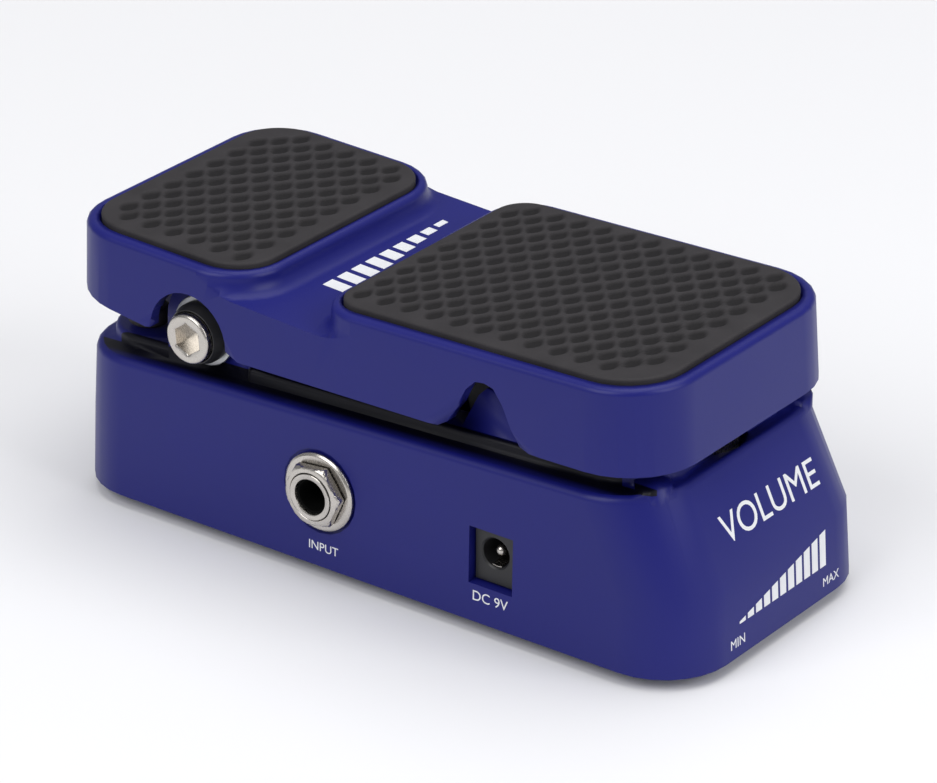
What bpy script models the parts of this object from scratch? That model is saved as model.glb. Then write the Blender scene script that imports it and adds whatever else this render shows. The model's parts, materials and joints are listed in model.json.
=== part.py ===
"""A compact treadle volume pedal, modelled as the pieces it comes apart into.

Sizes in this file are millimetres.  A piece is shaped in millimetres and scaled
to metres when it is placed.
+X runs from the heel to the toe, +Z is up, and the input jack and the power
socket are on the -Y side.  Heights are counted from the underside of the base,
and one empty lifts the whole pedal onto its rubber feet.
"""
import math

import bmesh
import bpy
from mathutils import Matrix, Vector

MM = 0.001

# ---- overall sizes -------------------------------------------------------
LENGTH = 143.0
WIDTH = 63.5
FOOT_HEIGHT = 2.5

# ---- clearances ----------------------------------------------------------
SEAT_GAP = 0.3          # between two pieces that are fastened together
RUN_GAP = 0.1           # radial, a shaft turning or sliding in its bore
SWING_GAP = 0.8         # between the treadle and what it swings past

# ---- base housing --------------------------------------------------------
BASE_WALL = 2.6
BASE_CORNER_R = 13.7
BASE_DRAFT = math.tan(math.radians(1.7))
TOE_DRAFT = math.tan(math.radians(3.4))
TOE_KNEE_Z = 14.5       # above this the toe end leans back
TOE_SET_BACK = 9.0      # how far the toe end has leaned back at the deck
DECK_Z = 30.6           # deck height at the middle of the pedal
DECK_SLOPE = 0.040      # the deck climbs towards the toe
DECK_EDGE_R = 1.5
PLATEAU_RISE = 2.5      # the raised middle of the deck
PLATEAU_HEEL_INSET = 3.0
PLATEAU_TOE_INSET = 12.2
PLATEAU_SIDE_INSET = 6.2
PLATEAU_CORNER_R = 10.5
PLATEAU_EDGE_R = 1.0

# ---- bottom plate, feet and their screws ---------------------------------
PLATE_THICK = 1.5
FOOT_R = 6.0
FOOT_INSET_X = 21.5
FOOT_INSET_Y = 15.7
PLATE_SCREW_INSET_X = 24.5
PLATE_SCREW_INSET_Y = 6.8
BOSS_R = 3.4
M3_SHANK_R = 1.3
M3_HEAD_R = 2.6
M3_HEAD_H = 1.6
M3_HOLE_R = M3_SHANK_R + SEAT_GAP

# ---- treadle -------------------------------------------------------------
TREADLE_HEEL_INSET = 0.3
TREADLE_TOE_INSET = 8.6
TREADLE_SIDE_INSET = 0.1
TREADLE_WALL = 2.5
TREADLE_SKIN = 2.2      # metal left under a pad
TREADLE_HEEL_R = 12.2
TREADLE_TOE_R = 14.2
TREADLE_DRAFT = math.tan(math.radians(1.7))
TREADLE_TOE_DRAFT = math.tan(math.radians(4.0))
RIM_EDGE_R = 1.2
SKIRT_BELOW_PIVOT = 0.95    # lower edge of the skirt at the middle of the pedal
SKIRT_SLOPE = 0.015
HEEL_SKIRT_SLOPE = -0.13
HEEL_BLOCK_LENGTH = 44.9
HEEL_BLOCK_FRONT_R = 11.5
HEEL_RIM_RISE = 15.25   # rims and saddle are counted from the pivot
HEEL_TILT = -0.0322
SADDLE_LENGTH = 15.3
SADDLE_RISE = 9.7
SADDLE_TILT = -0.055
SADDLE_FILLET_R = 2.6
TOE_BLOCK_BACK_R = 8.9
TOE_RIM_RISE = 15.5
TOE_TILT = 0.0238
BELL_ARCH_FROM_PIVOT = 67.6
BELL_ARCH_HEIGHT = 11.0
BELL_ARCH_SPREAD = 6.1

# ---- rubber pads ---------------------------------------------------------
PAD_RIM = 2.3           # metal rim around a pad
PAD_RECESS = 2.0
PAD_GAP = 0.45
PAD_PROUD = 1.0
PAD_EDGE_R = 0.5

# ---- pivot ---------------------------------------------------------------
PIVOT_FROM_HEEL = 31.5
PIVOT_RISE = 6.0        # pivot above the raised deck under it
PIVOT_ARCH_R = 9.0
TOWER_R = 9.6
TOWER_INSET = 5.95        # outer face of a tower, in from the side
TOWER_THICK = 4.0
LUG_R = 5.0
LUG_THICK = 5.6
BOLT_SHANK_R = 3.0
BOLT_HEAD_R = 4.9
BOLT_HEAD_H = 3.6
BOLT_SOCKET_AF = 5.0
BOLT_SOCKET_DEPTH = 2.6
BUSH_WALL = 1.0
BUSH_CUP_WALL = 0.9
BUSH_CUP_DEPTH = 2.4
BUSH_FLOOR = 0.8
WASHER_R = 6.9
WASHER_THICK = 0.8
HEEL_DOWN_DEG = 11.0
TOE_DOWN_DEG = 1.7

# ---- gear drive to the potentiometer -------------------------------------
GEAR_MODULE = 1.0
PINION_TEETH = 12
SECTOR_FULL_TEETH = 112
SECTOR_TEETH_BELOW = 4
SECTOR_TEETH_ABOVE = 2
TOOTH_ADDENDUM = 0.8
TOOTH_DEDENDUM = 1.2
TOOTH_ROOT_W = 1.6
TOOTH_TIP_W = 0.7
SECTOR_BAND = 6.4       # sector rim, pitch line to inside edge
SECTOR_THICK = 4.0
SECTOR_FLANGE_H = 2.4
SECTOR_FLANGE_L = 15.0
SECTOR_FLANGE_W = 15.2
PINION_DROP = 1.5       # potentiometer axis below the pivot
PINION_THICK = 6.0
POT_SHAFT_R = 3.0
POT_BUSH_R = 4.2
POT_BODY_R = 8.0
POT_BODY_H = 8.0
POT_BUSH_H = 6.2
BRACKET_THICK = 1.5
BRACKET_HALF_L = 20.0
BRACKET_TAB = 8.0
BRACKET_TAB_W = 5.5
BAY_GAP = 0.7
GUARD_THICK = 2.0
GUARD_RISE = 5.5        # guard top above the pivot
GUARD_BASE_HALF = 7.4
GUARD_TOP_HALF = 3.0
GUARD_BACK = 3.0        # guard centre behind the bell arch centre

# ---- toe switch ----------------------------------------------------------
SWITCH_FROM_TOE = 19.0
SWITCH_SINK = 0.4       # dish floor below the deck at the middle
SWITCH_DISH_R = 8.8
SWITCH_BUSH_R = 4.8
SWITCH_BUSH_RISE = 4.0
SWITCH_BODY_HALF = 6.5
SWITCH_BODY_H = 16.0
SWITCH_NUT_AF = 12.6
SWITCH_NUT_H = 2.2
PLUNGER_R = 3.7
PLUNGER_RISE = 8.6      # plunger top above the dish floor
PLUNGER_TRAVEL = 2.0

# ---- rubber stops --------------------------------------------------------
STOP_R = 4.0
STOP_H = 3.5
STOP_BOSS_R = 3.4
TOE_STOP_FROM_TOE = 27.5
HEEL_STOP_FROM_HEEL = 11.5
STOP_Y = 19.0

# ---- jacks ---------------------------------------------------------------
JACK_FROM_PIVOT = 30.4
JACK_Z = 15.2
JACK_BORE_R = 3.4
JACK_SLEEVE_R = 4.6
JACK_SLEEVE_OUT = 3.5   # sleeve end beyond the spot face
JACK_BODY = (16.0, 20.0, 15.0)
JACK_BORE_DEPTH = 20.0
JACK_SLEEVE_SEAT = 4.0  # how deep the sleeve sits in the jack body
JACK_WASHER_R = 7.8
JACK_WASHER_THICK = 0.9
JACK_NUT_AF = 12.4
JACK_NUT_H = 1.8
SPOT_FACE_R = 8.4
SPOT_FACE_DEPTH = 0.5
DC_FROM_PIVOT = 69.4
DC_WINDOW = (9.7, 11.3)
DC_WINDOW_LOW_Z = 7.5
DC_BODY_DEPTH = 13.0
DC_SET_BACK = 1.3
DC_BORE_R = 2.9
DC_BORE_DEPTH = 8.5
DC_BORE_ABOVE_MIDDLE = 0.9
DC_PIN_R = 1.05

# ---- circuit board -------------------------------------------------------
BOARD_Z = 5.5
BOARD_THICK = 1.6
BOARD_HALF_W = 25.0
BOARD_SCREW_Y = 15.5
BOARD_HEEL_FROM_PIVOT = 9.0
BOARD_TO_SWITCH = 1.5
BOARD_SCREW_IN = 4.5
LED_FROM_TOE = 36.5
LED_R = 1.5
LED_HEIGHT = 2.4

# ---- smoothness ----------------------------------------------------------
CORNER_STEPS = 7
FILLET_STEPS = 3
ROUND_STEPS = 20
BORE_STEPS = 12

# ---- places worked out from the sizes above ------------------------------
HEEL_X = -LENGTH / 2
TOE_X = LENGTH / 2
SIDE_Y = WIDTH / 2
TOWER_OUT_Y = SIDE_Y - TOWER_INSET
PIVOT_X = HEEL_X + PIVOT_FROM_HEEL
PIVOT_Z = DECK_Z + DECK_SLOPE * PIVOT_X + PLATEAU_RISE + PIVOT_RISE
SKIRT_Z = PIVOT_Z - SKIRT_BELOW_PIVOT
HEEL_RIM_Z = PIVOT_Z + HEEL_RIM_RISE
SADDLE_Z = PIVOT_Z + SADDLE_RISE
TOE_RIM_Z = PIVOT_Z + TOE_RIM_RISE
GUARD_TOP_Z = PIVOT_Z + GUARD_RISE
SWITCH_FLOOR_Z = DECK_Z - SWITCH_SINK
SWITCH_BUSH_TOP = SWITCH_FLOOR_Z + SWITCH_BUSH_RISE
PLUNGER_TOP_Z = SWITCH_FLOOR_Z + PLUNGER_RISE
SECTOR_R = GEAR_MODULE * SECTOR_FULL_TEETH / 2
PINION_R = GEAR_MODULE * PINION_TEETH / 2
MESH_ANGLE = -math.asin(PINION_DROP / (SECTOR_R + PINION_R))
PINION_X = PIVOT_X + (SECTOR_R + PINION_R) * math.cos(MESH_ANGLE)
PINION_Z = PIVOT_Z - PINION_DROP
BELL_ARCH_X = PIVOT_X + BELL_ARCH_FROM_PIVOT
SWITCH_X = TOE_X - SWITCH_FROM_TOE
JACK_X = PIVOT_X + JACK_FROM_PIVOT
DC_X = PIVOT_X + DC_FROM_PIVOT
TREADLE_HEEL_X = HEEL_X + TREADLE_HEEL_INSET
TREADLE_TOE_X = TOE_X - TREADLE_TOE_INSET
TREADLE_SIDE_Y = SIDE_Y - TREADLE_SIDE_INSET
HEEL_FRONT_X = TREADLE_HEEL_X + HEEL_BLOCK_LENGTH
TOE_BACK_X = HEEL_FRONT_X + SADDLE_LENGTH
HEEL_MID_X = (TREADLE_HEEL_X + HEEL_FRONT_X) / 2
TOE_MID_X = (TOE_BACK_X + TREADLE_TOE_X) / 2
SADDLE_MID_X = (HEEL_FRONT_X + TOE_BACK_X) / 2
BLOCK_HALF_W = TREADLE_SIDE_Y - (HEEL_RIM_Z - SKIRT_Z) * TREADLE_DRAFT
GUARD_X = BELL_ARCH_X - GUARD_BACK
POT_FACE_Y = -(PINION_THICK / 2 + POT_BUSH_H + 0.8)
BRACKET_Y = POT_FACE_Y + SEAT_GAP
BAY_HEEL_X = PINION_X - PINION_R - SECTOR_BAND - BAY_GAP - 1.0
BAY_TOE_X = PINION_X + POT_BODY_R + BAY_GAP
BAY_RIGHT_Y = POT_FACE_Y - POT_BODY_H - BAY_GAP
BAY_LEFT_Y = PINION_THICK / 2 + 2.0

FAR = 200.0             # past everything, for cutters
WELD = 0.0005           # points closer than this are one point
FLAT_ANGLE = math.radians(0.03)


def deck(x):
    """Height of the sloping deck at x."""
    return DECK_Z + DECK_SLOPE * x


def plateau(x):
    """Height of the raised middle of the deck at x."""
    return deck(x) + PLATEAU_RISE


def heel_rim(x):
    return HEEL_RIM_Z + HEEL_TILT * (x - HEEL_MID_X)


def toe_rim(x):
    return TOE_RIM_Z + TOE_TILT * (x - TOE_MID_X)


def saddle(x):
    return SADDLE_Z + SADDLE_TILT * (x - SADDLE_MID_X)


def heel_ceiling(x):
    return heel_rim(x) - PAD_RECESS - TREADLE_SKIN


def toe_ceiling(x):
    return toe_rim(x) - PAD_RECESS - TREADLE_SKIN


def saddle_ceiling(x):
    return saddle(x) - TREADLE_SKIN


def skirt(x):
    """Lower edge of the treadle's side skirt, with the bell-shaped arch."""
    if x < PIVOT_X:
        return SKIRT_Z + SKIRT_SLOPE * PIVOT_X + HEEL_SKIRT_SLOPE * (x - PIVOT_X)
    reach = abs(x - BELL_ARCH_X) / BELL_ARCH_SPREAD
    return SKIRT_Z + SKIRT_SLOPE * x + BELL_ARCH_HEIGHT * math.exp(-reach ** 3)


# ---- mesh helpers --------------------------------------------------------
FINISH = {
    "blue_paint": ((0.030, 0.030, 0.150, 1.0), 0.42, 0.0),
    "black_rubber": ((0.042, 0.042, 0.044, 1.0), 0.75, 0.0),
    "black_plastic": ((0.015, 0.015, 0.016, 1.0), 0.45, 0.0),
    "nickel": ((0.62, 0.60, 0.57, 1.0), 0.28, 1.0),
    "zinc_steel": ((0.50, 0.51, 0.52, 1.0), 0.38, 1.0),
    "brass": ((0.70, 0.50, 0.22, 1.0), 0.32, 1.0),
    "white_nylon": ((0.75, 0.74, 0.70, 1.0), 0.50, 0.0),
    "green_board": ((0.02, 0.16, 0.07, 1.0), 0.55, 0.0),
    "red_lens": ((0.70, 0.03, 0.02, 1.0), 0.20, 0.0),
}


def clear_scene():
    for old in list(bpy.data.objects):
        bpy.data.objects.remove(old, do_unlink=True)


def paint(obj, finish):
    """Give a piece its own material."""
    colour, roughness, metallic = FINISH[finish]
    made = bpy.data.materials.new(obj.name)
    made.use_nodes = True
    shader = made.node_tree.nodes["Principled BSDF"]
    shader.inputs["Base Color"].default_value = colour
    shader.inputs["Roughness"].default_value = roughness
    shader.inputs["Metallic"].default_value = metallic
    obj.data.materials.clear()
    obj.data.materials.append(made)


def make(name, points, faces):
    """A closed mesh object in millimetres, faces turned outward."""
    shape = bmesh.new()
    verts = [shape.verts.new(Vector(p)) for p in points]
    for face in faces:
        shape.faces.new([verts[i] for i in face])
    bmesh.ops.recalc_face_normals(shape, faces=shape.faces[:])
    bmesh.ops.triangulate(shape, faces=shape.faces[:])
    mesh = bpy.data.meshes.new(name)
    shape.to_mesh(mesh)
    shape.free()
    obj = bpy.data.objects.new(name, mesh)
    bpy.context.scene.collection.objects.link(obj)
    return obj


def loft(name, sections):
    """Skin a stack of closed sections with equal point counts."""
    count = len(sections[0])
    points = [p for section in sections for p in section]
    faces = []
    for level in range(len(sections) - 1):
        low = level * count
        for i in range(count):
            j = (i + 1) % count
            faces.append((low + i, low + j, low + count + j, low + count + i))
    top = (len(sections) - 1) * count
    faces.append(tuple(reversed(range(count))))
    faces.append(tuple(range(top, top + count)))
    return make(name, points, faces)


AXES = {
    "x": Matrix(((0, 0, 1), (1, 0, 0), (0, 1, 0))),
    "y": Matrix(((1, 0, 0), (0, 0, 1), (0, 1, 0))),
    "z": Matrix.Identity(3),
}


def prism(name, outline, axis, low, high):
    """Extrude a flat outline along an axis; for y the outline is (x, z)."""
    turn = AXES[axis]
    sections = [[turn @ Vector((u, v, w)) for u, v in outline] for w in (low, high)]
    return loft(name, sections)


def block(name, low, high):
    outline = [(low[0], low[1]), (high[0], low[1]), (high[0], high[1]), (low[0], high[1])]
    return prism(name, outline, "z", low[2], high[2])


def turned(name, profile, axis, centre, steps=ROUND_STEPS):
    """Turn a closed profile of (radius, height) about an axis through centre."""
    turn = AXES[axis]
    points, rings = [], []
    for radius, height in profile:
        if radius == 0:
            rings.append([len(points)] * steps)
            points.append(turn @ Vector((0, 0, height)) + Vector(centre))
            continue
        rings.append(list(range(len(points), len(points) + steps)))
        for i in range(steps):
            angle = 2 * math.pi * i / steps
            spot = Vector((radius * math.cos(angle), radius * math.sin(angle), height))
            points.append(turn @ spot + Vector(centre))
    faces = []
    for ring, following in zip(rings, rings[1:] + rings[:1]):
        if ring[0] == ring[-1] and following[0] == following[-1]:
            continue
        for i in range(steps):
            j = (i + 1) % steps
            corners = [ring[i], ring[j], following[j], following[i]]
            faces.append(tuple(dict.fromkeys(corners)))
    return make(name, points, faces)


def rod(name, axis, centre, radius, low, high, steps=ROUND_STEPS):
    """A plain cylinder from low to high along an axis."""
    profile = [(0, low), (radius, low), (radius, high), (0, high)]
    return turned(name, profile, axis, centre, steps)


def tidy(mesh):
    """Close the hairline slivers that a Boolean leaves, and merge its flat faces."""
    shape = bmesh.new()
    shape.from_mesh(mesh)
    bmesh.ops.remove_doubles(shape, verts=shape.verts[:], dist=WELD)
    bmesh.ops.dissolve_degenerate(shape, edges=shape.edges[:], dist=WELD)
    bmesh.ops.dissolve_limit(shape, angle_limit=FLAT_ANGLE, verts=shape.verts[:], edges=shape.edges[:])
    bmesh.ops.triangulate(shape, faces=shape.faces[:])
    shape.to_mesh(mesh)
    shape.free()


def combine(target, tool, operation):
    """Cut or join a tool into a target, and drop the tool."""
    step = target.modifiers.new(operation.lower(), "BOOLEAN")
    step.operation = operation
    step.solver = "EXACT"
    step.object = tool
    bpy.context.view_layer.update()
    graph = bpy.context.evaluated_depsgraph_get()
    result = bpy.data.meshes.new_from_object(target.evaluated_get(graph))
    target.modifiers.clear()
    target.data = result
    tidy(result)
    bpy.data.objects.remove(tool, do_unlink=True)
    return target


def cut(target, *tools):
    for tool in tools:
        combine(target, tool, "DIFFERENCE")
    return target


def join(target, *tools):
    for tool in tools:
        combine(target, tool, "UNION")
    return target


def corner_arc(cx, cy, radius, start, steps=CORNER_STEPS):
    """Points of a quarter circle that starts at a given angle in degrees."""
    turns = [math.radians(start + 90 * i / steps) for i in range(steps + 1)]
    return [(cx + radius * math.cos(t), cy + radius * math.sin(t)) for t in turns]


def plan(heel_x, toe_x, half, heel_r, toe_r):
    """Plan outline of a rounded rectangle, anticlockwise from the toe."""
    return (corner_arc(toe_x - toe_r, half - toe_r, toe_r, 0)
            + corner_arc(heel_x + heel_r, half - heel_r, heel_r, 90)
            + corner_arc(heel_x + heel_r, heel_r - half, heel_r, 180)
            + corner_arc(toe_x - toe_r, toe_r - half, toe_r, 270))


def at_height(outline, height):
    """Lift a plan outline to a height, which may be a function of x."""
    rise = height if callable(height) else (lambda x: height)
    return [(x, y, rise(x)) for x, y in outline]


def fillet(radius):
    """Steps of a rounded top edge: how far in and how far below the top."""
    for i in range(FILLET_STEPS + 1):
        turn = math.pi / 2 * i / FILLET_STEPS
        yield radius * (1 - math.cos(turn)), radius * (1 - math.sin(turn))


def smooth(obj, sharp_deg=32.0):
    obj.data.shade_smooth()
    obj.data.set_sharp_from_angle(angle=math.radians(sharp_deg))


def frame_empty(name, at, parent=None):
    """An empty that carries a body; `at` counts from the underside of the base."""
    empty = bpy.data.objects.new(name, None)
    bpy.context.scene.collection.objects.link(empty)
    empty.parent = parent
    offset = Vector(parent["at"]) if parent else Vector((0, 0, 0))
    empty.location = (Vector(at) - offset) * MM
    empty["at"] = list(at)
    return empty


def place(obj, parent, at, finish):
    """Put a piece's origin at `at`, in metres, and hang it on its body's empty."""
    origin = Vector(at)
    obj.data.transform(Matrix.Scale(MM, 4) @ Matrix.Translation(-origin))
    obj.parent = parent
    obj.location = (origin - Vector(parent["at"])) * MM
    smooth(obj)
    paint(obj, finish)
    return obj


# ---- base housing --------------------------------------------------------
def base_outline(z, inset):
    """Plan of the base at a height counted from its underside."""
    lean = TOE_DRAFT * min(z, TOE_KNEE_Z)
    if z > TOE_KNEE_Z:
        knee = TOE_DRAFT * TOE_KNEE_Z
        toe_deck_z = deck(TOE_X - TOE_SET_BACK)
        lean += (TOE_SET_BACK - knee) * (z - TOE_KNEE_Z) / (toe_deck_z - TOE_KNEE_Z)
    side = SIDE_Y - BASE_DRAFT * z - inset
    corner = BASE_CORNER_R - inset
    return plan(HEEL_X + BASE_DRAFT * z + inset, TOE_X - lean - inset, side, corner, corner)


def deck_outline(inset):
    """Plan of the base where its walls meet the sloping deck."""
    draw = BASE_DRAFT * DECK_Z
    corner = BASE_CORNER_R - inset
    return plan(HEEL_X + draw + inset, TOE_X - TOE_SET_BACK - inset,
                SIDE_Y - draw - inset, corner, corner)


def plateau_outline(inset):
    corner = PLATEAU_CORNER_R - inset
    return plan(HEEL_X + PLATEAU_HEEL_INSET + inset, TOE_X - PLATEAU_TOE_INSET - inset,
                SIDE_Y - PLATEAU_SIDE_INSET - inset, corner, corner)


def base_shell():
    """Outer skin, raised plateau and the hollow under them."""
    sections = [at_height(base_outline(0, 0), 0),
                at_height(base_outline(TOE_KNEE_Z, 0), TOE_KNEE_Z)]
    for inward, below in fillet(DECK_EDGE_R):
        sections.append(at_height(deck_outline(inward), lambda x: deck(x) - below))
    shell = loft("base_housing", sections)
    step = [at_height(plateau_outline(0), lambda x: deck(x) - DECK_EDGE_R)]
    for inward, below in fillet(PLATEAU_EDGE_R):
        step.append(at_height(plateau_outline(inward), lambda x: plateau(x) - below))
    join(shell, loft("step", step))
    hollow = [at_height(base_outline(0, BASE_WALL), -1.0),
              at_height(base_outline(TOE_KNEE_Z, BASE_WALL), TOE_KNEE_Z),
              at_height(deck_outline(BASE_WALL), lambda x: deck(x) - BASE_WALL)]
    attic = [at_height(plateau_outline(BASE_WALL), lambda x: deck(x) - BASE_WALL - 1.0),
             at_height(plateau_outline(BASE_WALL), lambda x: plateau(x) - BASE_WALL)]
    return cut(shell, loft("hollow", hollow), loft("attic", attic))


def plate_screw_spots():
    x = LENGTH / 2 - BASE_WALL - PLATE_SCREW_INSET_X + BASE_CORNER_R
    y = SIDE_Y - BASE_WALL - PLATE_SCREW_INSET_Y
    return {"toe_left": (x, y), "toe_right": (x, -y), "heel_left": (-x, y), "heel_right": (-x, -y)}


def board_span():
    return PIVOT_X + BOARD_HEEL_FROM_PIVOT, SWITCH_X - SWITCH_BODY_HALF - BOARD_TO_SWITCH


def board_screw_spots():
    heel_x, toe_x = board_span()
    heel_x += BOARD_SCREW_IN
    toe_x -= BOARD_SCREW_IN
    y = BOARD_SCREW_Y
    return {"toe_left": (toe_x, y), "toe_right": (toe_x, -y),
            "heel_left": (heel_x, y), "heel_right": (heel_x, -y)}


def add_bosses(shell):
    """Screw posts that hang from the deck to the bottom plate and the board."""
    posts = [(spot, PLATE_THICK + SEAT_GAP) for spot in plate_screw_spots().values()]
    posts += [(spot, BOARD_Z + BOARD_THICK + SEAT_GAP) for spot in board_screw_spots().values()]
    for (x, y), low in posts:
        join(shell, rod("post", "z", (x, y, 0), BOSS_R, low, plateau(x) - BASE_WALL / 2, BORE_STEPS))
        cut(shell, rod("pilot", "z", (x, y, 0), M3_HOLE_R, low - 1.0, low + 9.0, BORE_STEPS))


def tower_outline():
    """Side view of a pivot tower: straight legs under a round head."""
    foot_z = deck(PIVOT_X) - BASE_WALL / 2
    steps = 2 * CORNER_STEPS
    head = [math.pi * i / steps for i in range(steps + 1)]
    arch = [(PIVOT_X + TOWER_R * math.cos(t), PIVOT_Z + TOWER_R * math.sin(t)) for t in head]
    return arch + [(PIVOT_X - TOWER_R, foot_z), (PIVOT_X + TOWER_R, foot_z)]


def guard_outline():
    """Side view of a gear bay guard, the hump seen through the bell arch."""
    foot_z = plateau(GUARD_X) - BASE_WALL / 2
    rounding = GUARD_TOP_HALF * 0.6
    return [(GUARD_X - GUARD_BASE_HALF, foot_z),
            (GUARD_X - GUARD_TOP_HALF, GUARD_TOP_Z - rounding),
            (GUARD_X - GUARD_TOP_HALF + rounding, GUARD_TOP_Z),
            (GUARD_X + GUARD_TOP_HALF - rounding, GUARD_TOP_Z),
            (GUARD_X + GUARD_TOP_HALF, GUARD_TOP_Z - rounding),
            (GUARD_X + GUARD_BASE_HALF, foot_z)]


def add_towers(shell):
    for side in (1, -1):
        low, high = sorted((side * TOWER_OUT_Y, side * (TOWER_OUT_Y - TOWER_THICK)))
        join(shell, prism("tower", tower_outline(), "y", low, high))
        hole_r = BOLT_SHANK_R + RUN_GAP + BUSH_WALL + SEAT_GAP
        cut(shell, rod("bush_hole", "y", (PIVOT_X, 0, PIVOT_Z), hole_r, low - 1, high + 1, BORE_STEPS))
        outer = SIDE_Y - PLATEAU_SIDE_INSET - PLATEAU_EDGE_R - 0.2
        low, high = sorted((side * outer, side * (outer - GUARD_THICK)))
        join(shell, prism("guard", guard_outline(), "y", low, high))


def switch_dish(shell):
    """A round sunken seat in the deck for the toe switch."""
    seat = (SWITCH_X, 0, 0)
    floor = SWITCH_FLOOR_Z
    join(shell, rod("seat", "z", seat, SWITCH_DISH_R + 1.6, floor - BASE_WALL, floor + 0.6))
    cut(shell, rod("dish", "z", seat, SWITCH_DISH_R, floor, FAR))
    cut(shell, rod("hole", "z", seat, SWITCH_BUSH_R + SEAT_GAP, 0, FAR, BORE_STEPS))


def socket_wall_y(z):
    """How far out the base's side wall is at a height."""
    return SIDE_Y - BASE_DRAFT * z


def spot_face_y():
    return socket_wall_y(JACK_Z) - SPOT_FACE_DEPTH


def side_openings(shell):
    """Jack holes with flat seats in both sides, and the power window."""
    for side in (1, -1):
        spot = (JACK_X, 0, JACK_Z)
        low, high = sorted((side * spot_face_y(), side * FAR))
        cut(shell, rod("spot_face", "y", spot, SPOT_FACE_R, low, high))
        low, high = sorted((side * (SIDE_Y - 8), side * FAR))
        cut(shell, rod("sleeve_hole", "y", spot, JACK_SLEEVE_R + SEAT_GAP, low, high))
    half = DC_WINDOW[0] / 2
    cut(shell, block("window", (DC_X - half, -FAR, DC_WINDOW_LOW_Z),
                     (DC_X + half, -(SIDE_Y - 8), DC_WINDOW_LOW_Z + DC_WINDOW[1])))


def bracket_screw_spots():
    reach = BRACKET_HALF_L - BRACKET_TAB / 2
    y = BRACKET_Y + BRACKET_THICK + BRACKET_TAB_W / 2
    return {"heel": (PINION_X - reach, y), "toe": (PINION_X + reach, y)}


def gear_bay(shell):
    """The window the gear sector and the potentiometer pass through."""
    cut(shell, block("bay", (BAY_HEEL_X, BAY_RIGHT_Y, DECK_Z - 8), (BAY_TOE_X, BAY_LEFT_Y, PINION_Z + 2)))
    for x, y in bracket_screw_spots().values():
        cut(shell, rod("tap", "z", (x, y, 0), M3_HOLE_R, deck(x) - 6, plateau(x) + 1, BORE_STEPS))
    led_x = TOE_X - LED_FROM_TOE
    cut(shell, rod("led_hole", "z", (led_x, 0, 0), LED_R + SEAT_GAP, deck(led_x) - 4, FAR, BORE_STEPS))


def base_housing(pedal):
    shell = base_shell()
    add_bosses(shell)
    add_towers(shell)
    switch_dish(shell)
    side_openings(shell)
    gear_bay(shell)
    return place(shell, pedal, (0, 0, 0), "blue_paint")


# ---- bottom plate, feet, screws ------------------------------------------
def bottom_plate(pedal):
    outline = base_outline(PLATE_THICK, BASE_WALL + SEAT_GAP)
    plate = prism("bottom_plate", outline, "z", 0, PLATE_THICK)
    for x, y in plate_screw_spots().values():
        cut(plate, rod("hole", "z", (x, y, 0), M3_HOLE_R, -1, PLATE_THICK + 1, BORE_STEPS))
    return place(plate, pedal, (0, 0, 0), "zinc_steel")


def foot_spots():
    x = LENGTH / 2 - FOOT_INSET_X
    y = SIDE_Y - FOOT_INSET_Y
    return {"toe_left": (x, y), "toe_right": (x, -y), "heel_left": (-x, y), "heel_right": (-x, -y)}


def rubber_feet(pedal):
    for corner, (x, y) in foot_spots().items():
        profile = [(0, -FOOT_HEIGHT), (FOOT_R - 0.5, -FOOT_HEIGHT), (FOOT_R, -FOOT_HEIGHT + 0.5),
                   (FOOT_R, -SEAT_GAP), (0, -SEAT_GAP)]
        foot = turned("foot_" + corner, profile, "z", (x, y, 0))
        place(foot, pedal, (x, y, 0), "black_rubber")


def m3_screw(name, parent, at, direction, length):
    """Socketed M3 screw; `at` is under its head, direction +1 points up."""
    side = [(0, 0.8 - M3_HEAD_H), (M3_HEAD_R * 0.4, 0.8 - M3_HEAD_H), (M3_HEAD_R * 0.4, -M3_HEAD_H),
            (M3_HEAD_R, -M3_HEAD_H * 0.6), (M3_HEAD_R, 0), (M3_SHANK_R, 0), (M3_SHANK_R, length),
            (0, length)]
    screw = turned(name, [(r, direction * h) for r, h in side], "z", at, BORE_STEPS)
    return place(screw, parent, at, "zinc_steel")


def plate_screws(pedal):
    for corner, (x, y) in plate_screw_spots().items():
        m3_screw("plate_screw_" + corner, pedal, (x, y, -SEAT_GAP), 1, PLATE_THICK + 7.0)


# ---- treadle -------------------------------------------------------------
def treadle_outline(z, inset):
    """Plan of the treadle at a height."""
    lift = z - SKIRT_Z
    side = TREADLE_SIDE_Y - TREADLE_DRAFT * lift - inset
    return plan(TREADLE_HEEL_X + TREADLE_DRAFT * lift + inset,
                TREADLE_TOE_X - TREADLE_TOE_DRAFT * (lift - (TOE_RIM_Z - SKIRT_Z)) - inset,
                side, TREADLE_HEEL_R - inset, TREADLE_TOE_R - inset)


def rim_height(x):
    """Top of the blocks, with the step between them spread over the saddle."""
    if x < HEEL_FRONT_X:
        return heel_rim(x)
    if x > TOE_BACK_X:
        return toe_rim(x)
    share = (x - HEEL_FRONT_X) / SADDLE_LENGTH
    return heel_rim(x) * (1 - share) + toe_rim(x) * share


def long_outline(outline):
    """Add points at the saddle to the long sides, where the rim changes slope."""
    result = []
    for here, following in zip(outline, outline[1:] + outline[:1]):
        result.append(here)
        if abs(here[0] - following[0]) > LENGTH / 2:
            stops = (TOE_BACK_X, HEEL_FRONT_X)
            stops = stops if here[0] > following[0] else stops[::-1]
            result += [(x, here[1]) for x in stops]
    return result


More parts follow.
